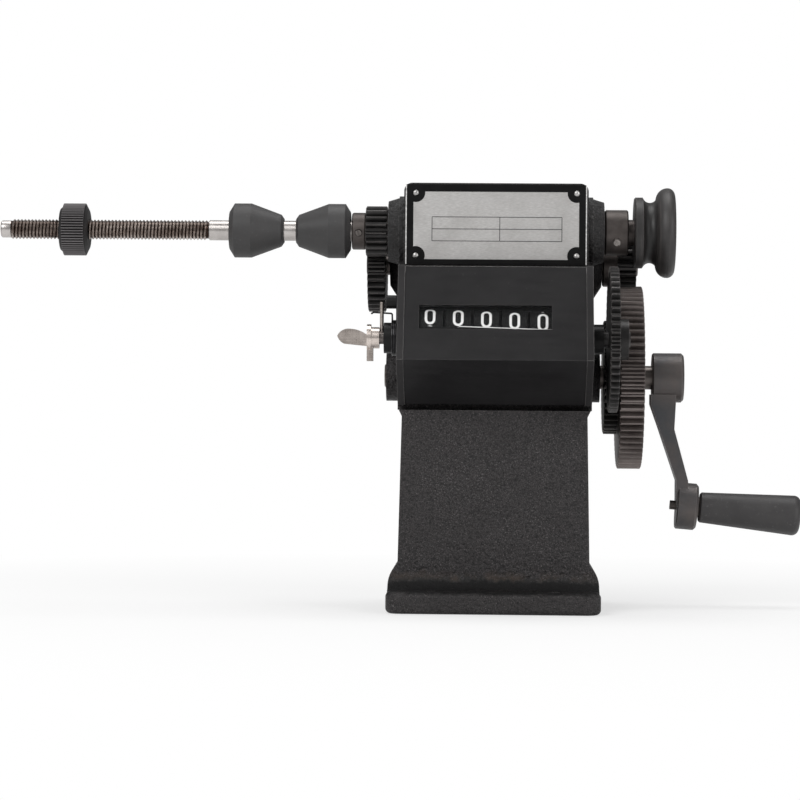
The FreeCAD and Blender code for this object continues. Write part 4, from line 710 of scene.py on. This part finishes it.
def make_spindle():
    """The spindle: a turned tip, a wound thread, a plain arbor, the journal and the pulley seat."""
    low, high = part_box("spindle")
    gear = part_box("spindle_gear")[0].x
    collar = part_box("right_collar")[1].x
    chamfer, plain, journal = SPINDLE_CHAMFER, ARBOR_RADIUS, JOURNAL_RADIUS
    start, end = low.x + TIP_LENGTH, high.x
    profile = [(low.x, 0), (low.x, TIP_RADIUS - chamfer), (low.x + chamfer, TIP_RADIUS), (start, TIP_RADIUS),
               (start + TIP_SHOULDER, THREAD_ROOT), (THREAD_END_X, THREAD_ROOT), (THREAD_END_X + chamfer, plain),
               (gear, plain), (gear, journal), (collar, journal), (collar, plain), (end - chamfer, plain),
               (end, plain - chamfer), (end, CENTRE_HOLE_RADIUS), (end - CENTRE_HOLE_DEPTH, 0)]
    shaft = mesh_of(turned(profile, SPINDLE_AXIS))
    for finish in ("bright", "dull", "thread"):
        shaft.materials.append(FINISHES[finish])
    for face in shaft.polygons:
        face.material_index = 1 if face.center.x > gear else 2 if start < face.center.x < THREAD_END_X else 0
    finished("turned_spindle", shaft, "bright", "spindle", ["spindle"])

    first, last = start + THREAD_GAPS[0], THREAD_END_X - THREAD_GAPS[1]
    thread = thread_maker().make("thread", pitch=THREAD_PITCH, root=THREAD_ROOT, crest=THREAD_CREST,
                                 length=last - first)
    thread.transform(Matrix.Translation((first, SPINDLE_AXIS.y, SPINDLE_AXIS.z)))
    finished("spindle_thread", thread, "thread", "spindle")


def make_knurled_nut():
    """A nut with straight flutes between two chamfered ends."""
    low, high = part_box("knurled_nut")
    outside = (high.y - low.y) / 2
    core = outside - CORE_DEPTH
    (left_length, left_depth), (right_length, right_depth) = NUT_LEFT_BEVEL, NUT_RIGHT_BEVEL
    flutes_start, flutes_end = low.x + FLUTES_FROM, high.x - right_length
    profile = [(low.x, NUT_BORE), (low.x, outside - left_depth), (low.x + left_length, core),
               (flutes_end - 0.1 * MM, core), (flutes_end, outside - 0.3 * MM), (high.x, outside - right_depth),
               (high.x, NUT_BORE), (low.x, NUT_BORE)]
    nut = mesh_of(turned(profile, SPINDLE_AXIS, 112))
    finished("fluted_nut", nut, "nut", "knurled_nut", ["knurled_nut"], sharp=20)
    flutes = flute_maker().make("nut", flutes=NUT_FLUTES, root=outside - FLUTE_DEPTH, crest=outside,
                                length=flutes_end - flutes_start)
    flutes.transform(Matrix.Translation((flutes_start, SPINDLE_AXIS.y, SPINDLE_AXIS.z)))
    finished("nut_flutes", flutes, "nut", "knurled_nut", sharp=20)


def facing(place, outward):
    """A matrix that stands a screw's top at a place, facing outward."""
    return Matrix.Translation(place) @ Vector(outward).to_track_quat("Z", "X").to_matrix().to_4x4()


def radial_screw(name, node, axis, radius, finish, body, slot_width):
    """A slotted screw in place of a CAD screw that stands out from an X axis."""
    low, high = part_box(node)
    middle, size = (low + high) / 2, high - low
    arm = Vector((0, middle.y - axis.y, middle.z - axis.z))
    outward = arm.normalized()
    square = max(abs(outward.y), abs(outward.z)) > 0.999
    half = SCREW_SHARE / 2 * (abs(size.dot(outward)) if square else Vector((0, size.y, size.z)).length)
    top = axis + Vector((middle.x - axis.x, 0, 0)) + outward * (arm.length + half)
    screw = screw_maker().make(finish, radius=radius, length=2 * half, slot=slot_width,
                               depth=SET_SCREW_SLOT_DEPTH)
    screw.transform(facing(top, outward) @ Matrix.Rotation(math.radians(20), 4, "Z"))
    finished(name, screw, finish, body, [node])


def make_screws():
    """Three set screws, and the counter's four fixing screws with their slots at odd angles."""
    for name, node, axis, radius, finish, body, slot_width in (
            ("left_grub_screw", "left_collar_screw", SPINDLE_AXIS, 1.5 * MM, "dull", "spindle", 0.5 * MM),
            ("right_grub_screw", "right_collar_screw", SPINDLE_AXIS, 1.7 * MM, "screw", "spindle", 0.6 * MM),
            ("crank_grub_screw", "crank_arm_screw", CRANK_AXIS, 2.5 * MM, "screw", "crank", 0.8 * MM)):
        radial_screw(name, node, axis, radius, finish, body, slot_width)

    low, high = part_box("counter_screws")
    head = FIXING_HEAD_RADIUS
    screw = screw_maker().make("bright", radius=head, length=FIXING_HEAD_LENGTH, slot=FIXING_SLOT_WIDTH,
                               depth=FIXING_SLOT_DEPTH)
    heads = bmesh.new()
    for x in (low.x + head, high.x - head):
        for z in (low.z + head, high.z - head):
            one = screw.copy()
            one.transform(facing(Vector((x, high.y, z)), (0, 1, 0)) @ Matrix.Rotation(0.9 + 9 * (x + z), 4, "Z"))
            heads.from_mesh(one)
    finished("counter_screw_heads", mesh_of(heads), "bright", "stand", ["counter_screws"])


# ---- name plate

def make_name_plate():
    """A brushed field with bitten corners, a ruled table and four rivets, on a black plate."""
    low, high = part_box("name_plate")
    middle_z = (low.z + high.z) / 2
    front = low.y
    outline = []
    for across, up, start in ((1, 1, 270), (-1, 1, 0), (-1, -1, 90), (1, -1, 180)):
        centre = Vector((across * RIVET_SPACING_X / 2, middle_z + up * RIVET_SPACING_Z / 2))
        edge_x = across * FIELD_HALF_WIDTH
        edge_z = FIELD_TOP if up > 0 else FIELD_BOTTOM
        on_side = Vector((edge_x, centre.y - up * math.sqrt(CORNER_BITE ** 2 - (edge_x - centre.x) ** 2)))
        on_top = Vector((centre.x - across * math.sqrt(CORNER_BITE ** 2 - (edge_z - centre.y) ** 2), edge_z))
        first, last = (on_side, on_top) if across * up > 0 else (on_top, on_side)
        begin = math.atan2(first.y - centre.y, first.x - centre.x)
        end = math.atan2(last.y - centre.y, last.x - centre.x)
        sweep = (begin - end) % math.tau
        for step in range(CORNER_STEPS + 1):
            angle = begin - sweep * step / CORNER_STEPS
            outline.append(centre + Vector((math.cos(angle), math.sin(angle))) * CORNER_BITE)
    field = bmesh.new()
    face = field.faces.new([field.verts.new((point.x, front - FIELD_THICKNESS, point.y)) for point in outline])
    back = bmesh.ops.extrude_face_region(field, geom=[face])["geom"]
    for vert in [item for item in back if isinstance(item, bmesh.types.BMVert)]:
        vert.co.y = front
    bmesh.ops.triangulate(field, faces=[item for item in field.faces if len(item.verts) > 4])
    finished("plate_field", mesh_of(field), "plate", "stand")

    left, right, _ = RULE_COLUMNS
    lines = [((left, row), (right, row)) for row in RULE_ROWS]
    lines += [((column, RULE_ROWS[0]), (column, RULE_ROWS[-1])) for column in RULE_COLUMNS]
    rules = bmesh.new()
    for line in lines:
        ribbon(rules, [Vector(point) for point in line], RULE_WIDTH,
               lambda across, up, lift: (across, front - RULE_LIFT - RULE_HALF_DEPTH * lift, up))
    finished("plate_rules", mesh_of(rules), "print", "stand")

    rivets = rivet_maker().make("rivet", across=RIVET_SPACING_X, up=RIVET_SPACING_Z, radius=RIVET_RADIUS,
                                height=RIVET_HEIGHT)
    rivets.transform(Matrix.Translation((0, front, middle_z)))
    finished("rivet_heads", rivets, "rivet", "stand", ["plate_rivets"])


# ---- turns counter

def on_counter(x, radius, angle):
    """A point at a radius from the counter's shaft, by its angle above the front."""
    return x, COUNTER_AXIS.y - radius * math.cos(angle), COUNTER_AXIS.z + radius * math.sin(angle)


def arc(x, y, across, up, start, end, steps=14):
    """Points along part of an ellipse about (x, y), from one angle to another in degrees."""
    angles = [math.radians(start + (end - start) * step / steps) for step in range(steps + 1)]
    return [Vector((x + across * math.cos(angle), y + up * math.sin(angle))) for angle in angles]


def figure_strokes():
    """Centre lines of the figures 0 to 9, as (points, closed), in a cell 2 wide and 4 high."""
    v = Vector
    six = arc(0, -1, 1, 1, 0, 360, 24)[:-1]
    tail = [v((-1, -1)), v((-1, 0.4))] + arc(0.35, 0.4, 1.35, 1.6, 180, 65, 8)
    return [
        [(arc(0, 1, 1, 1, 0, 180) + arc(0, -1, 1, 1, 180, 360), True)],
        [([v((-0.65, 1.35)), v((0, 2)), v((0, -2))], False)],
        [(arc(0, 1, 1, 1, 165, -35) + [v((-1, -2)), v((1, -2))], False)],
        [(arc(0, 1, 1, 1, 150, -80), False), (arc(0, -1, 1, 1, 80, -150), False)],
        [([v((0.45, -2)), v((0.45, 2)), v((-1, -0.85)), v((1, -0.85))], False)],
        [([v((0.9, 2)), v((-0.8, 2)), v((-0.9, 0.25))] + arc(0, -0.9, 1, 1.1, 125, -150), False)],
        [(six, True), (tail, False)],
        [([v((-1, 2)), v((1, 2)), v((-0.3, -2))], False)],
        [(arc(0, 1.05, 0.9, 0.95, 0, 360, 22)[:-1], True), (arc(0, -0.95, 1, 1.05, 0, 360, 24)[:-1], True)],
        [([-point for point in six], True), ([-point for point in tail], False)],
    ]


def evenly(points, closed, step):
    """The same line with its long runs divided, so that it bends round a wheel."""
    result = []
    for one, two in zip(points, points[1:] + points[:1] if closed else points[1:]):
        parts = max(1, math.ceil((two - one).length / step))
        result += [one.lerp(two, part / parts) for part in range(parts)]
    return result if closed else result + [points[-1]]


def make_figures():
    """White figures round each number wheel, 0 to 9 upwards."""
    half_width = (FIGURE_WIDTH - FIGURE_STROKE) / 2
    half_height = (FIGURE_HEIGHT - FIGURE_STROKE) / 4
    for index, (node, body) in enumerate(WHEELS):
        low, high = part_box(node)
        middle, radius = (low.x + high.x) / 2, (high.z - low.z) / 2
        slack = (2 - index) * FIGURE_SLACK
        shape = bmesh.new()
        for figure, strokes in enumerate(figure_strokes()):
            start = math.radians(FIGURE_ANGLE + slack + 36 * figure)
            for points, closed in strokes:
                sized = [Vector((point.x * half_width, point.y * half_height)) for point in points]

                def on_wheel(across, up, lift):
                    return on_counter(middle + across, radius + FIGURE_RELIEF * lift, start + up / radius)

                ribbon(shape, evenly(sized, closed, 0.7 * MM), FIGURE_STROKE, on_wheel, closed)
        finished(node.replace("wheel", "figures"), mesh_of(shape), "white", body)


def make_window_mask():
    """Black strips above and below the figure that shows, just clear of the wheels and falling to the right."""
    low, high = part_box("counter_window")
    strips = bmesh.new()
    for near_left, near_right, far in MASK_STRIPS:
        sections = []
        for step in range(MASK_STEPS + 1):
            left, right = (math.radians(near + (far - near) * step / MASK_STEPS)
                           for near in (near_left, near_right))
            corners = ((low.x, MASK_INSIDE, left), (high.x, MASK_INSIDE, right),
                       (high.x, MASK_OUTSIDE, right), (low.x, MASK_OUTSIDE, left))
            sections.append([strips.verts.new(on_counter(*corner)) for corner in corners])
        skin(strips, sections)
    finished("window_mask", mesh_of(strips), "wheel", "stand")

    # a thin white strip along the window's bottom edge: a painted highlight
    start = low.x + GLINT_START * (high.x - low.x)
    (left_low, left_high), (right_low, right_high) = GLINT_LEFT, GLINT_RIGHT
    corners = ((start, left_low), (start, left_high), (high.x, right_high), (high.x, right_low))
    edge = bmesh.new()
    skin(edge, [[edge.verts.new(on_counter(x, radius, math.radians(angle))) for x, angle in corners]
                for radius in GLINT_RADII])
    finished("window_glint", mesh_of(edge), "white", "stand")


def make_reset_spring():
    """A wound wire spring on the left boss, its ends hooked on the spring post and the reset pin."""
    def near_shaft(x, back, up):
        return Vector((x, COUNTER_AXIS.y + back, COUNTER_AXIS.z + up))

    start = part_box("counter_cover")[0].x - SPRING_FROM_COVER - SPRING_WIRE_RADIUS
    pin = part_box("reset_pin")[0].x
    points = [near_shaft(start, -POST_LEG_FRONT, up) for up in (POST_LEG_TOP, POST_LEG_FOOT)]
    first, last = math.radians(SPRING_FIRST), math.radians(SPRING_LAST)
    sweep = math.tau * SPRING_TURNS + (first - last)
    count = SPRING_TURNS * SPRING_STEPS
    for step in range(count + 1):
        angle = first - sweep * step / count
        points.append(near_shaft(start - SPRING_LENGTH * step / count, SPRING_RADIUS * math.cos(angle),
                                 SPRING_RADIUS * math.sin(angle)))
    points += [near_shaft(x, HOOK_BACK, up) for x, up in (
        (start - 2.5 * MM, 11.6 * MM), (start - 3.0 * MM, 12.0 * MM),
        (pin - 3.2 * MM, 12.5 * MM), (pin - 4.4 * MM, 11.8 * MM))]
    path = bpy.data.meshes.new("spring_path")
    path.from_pydata(points, [(index, index + 1) for index in range(len(points) - 1)], [])
    spring = wire_maker().make("spring", path, radius=SPRING_WIRE_RADIUS)
    finished("wound_reset_spring", spring, "spring", "stand", ["reset_spring"])


# ---- stage

def make_stage():
    """A white floor that keeps the object's shadow, and a white world that metal and glass also show."""
    grid = bmesh.new()
    bmesh.ops.create_grid(grid, x_segments=1, y_segments=1, size=FLOOR_HALF_SIZE)
    mesh = bpy.data.meshes.new("floor")
    grid.to_mesh(mesh)
    grid.free()
    floor = bpy.data.objects.new("floor", mesh)
    bpy.context.collection.objects.link(floor)
    floor.location.z = FLOOR_HEIGHT
    paper = Finish("white_paper", roughness=0.9)
    mesh.materials.append(paper.done(paper.mixed(paper.noise(3, 2), (0.9, 0.9, 0.9), (0.92, 0.92, 0.92))))
    seen = paper.add("ShaderNodeLightPath").outputs["Is Camera Ray"]
    white = paper.add("ShaderNodeEmission", {"Color": (1, 1, 1, 1), "Strength": 1.0})
    away = paper.add("ShaderNodeVectorMath", {0: paper.here}, operation="LENGTH").outputs["Value"]
    both = paper.add("ShaderNodeMixShader", {0: paper.times(seen, paper.ranged(away, *FLOOR_GLOW)),
                                             1: paper.shader.outputs[0], 2: white.outputs[0]})
    paper.tree.links.new(both.outputs[0], paper.output.inputs["Surface"])

    world = bpy.data.worlds.new("studio")
    bpy.context.scene.world = world
    world.use_nodes = True
    sky = NodeTree(world.node_tree)
    rays = sky.add("ShaderNodeLightPath").outputs
    seen = sky.larger(rays["Is Camera Ray"], rays["Is Transmission Ray"])
    strength = sky.add("ShaderNodeMapRange", {"Value": seen, "To Min": WORLD_LIGHT, "To Max": 1.0})
    background = next(node for node in sky.tree.nodes if node.type == "BACKGROUND")
    background.inputs["Color"].default_value = (1, 1, 1, 1)
    sky.tree.links.new(strength.outputs[0], background.inputs["Strength"])


def soft_lamp(name, place, width, height, power):
    """A rectangular lamp aimed at the middle of the machine."""
    light = bpy.data.lights.new(name, "AREA")
    light.shape, light.size, light.size_y, light.energy = "RECTANGLE", width, height, power
    lamp = bpy.data.objects.new(name, light)
    bpy.context.collection.objects.link(lamp)
    lamp.location = place
    lamp.rotation_euler = (Vector(LAMP_TARGET) - Vector(place)).to_track_quat("-Z", "Y").to_euler()


def make_lamps():
    """Soft light from the front left, the front right and above."""
    soft_lamp("key_lamp", (-0.75, -1.15, 1.05), width=0.9, height=0.9, power=13)
    soft_lamp("fill_lamp", (1.1, -0.9, 0.55), width=0.7, height=1.0, power=7)
    soft_lamp("top_lamp", (0.0, 0.15, 1.35), width=1.1, height=0.7, power=8)


def aim_camera():
    """A long lens in front of the machine, nearly square to it."""
    lens = bpy.data.cameras.new("camera")
    lens.lens, lens.sensor_width = CAMERA_LENS, CAMERA_SENSOR
    lens.clip_start, lens.clip_end = CAMERA_NEAR, CAMERA_FAR
    camera = bpy.data.objects.new("camera", lens)
    bpy.context.collection.objects.link(camera)
    camera.matrix_world = (Matrix.Translation(CAMERA_PLACE) @ Matrix.Rotation(math.radians(CAMERA_YAW), 4, "Z")
                           @ Matrix.Rotation(math.pi / 2 + math.radians(CAMERA_PITCH), 4, "X")
                           @ Matrix.Rotation(math.radians(CAMERA_ROLL), 4, "Z"))
    bpy.context.scene.camera = camera


aim_camera()
make_stage()
make_lamps()
bpy.context.scene.view_settings.view_transform = "Standard"
dress_frame()
make_spindle()
make_knurled_nut()
make_screws()
make_name_plate()
make_figures()
make_window_mask()
make_reset_spring()
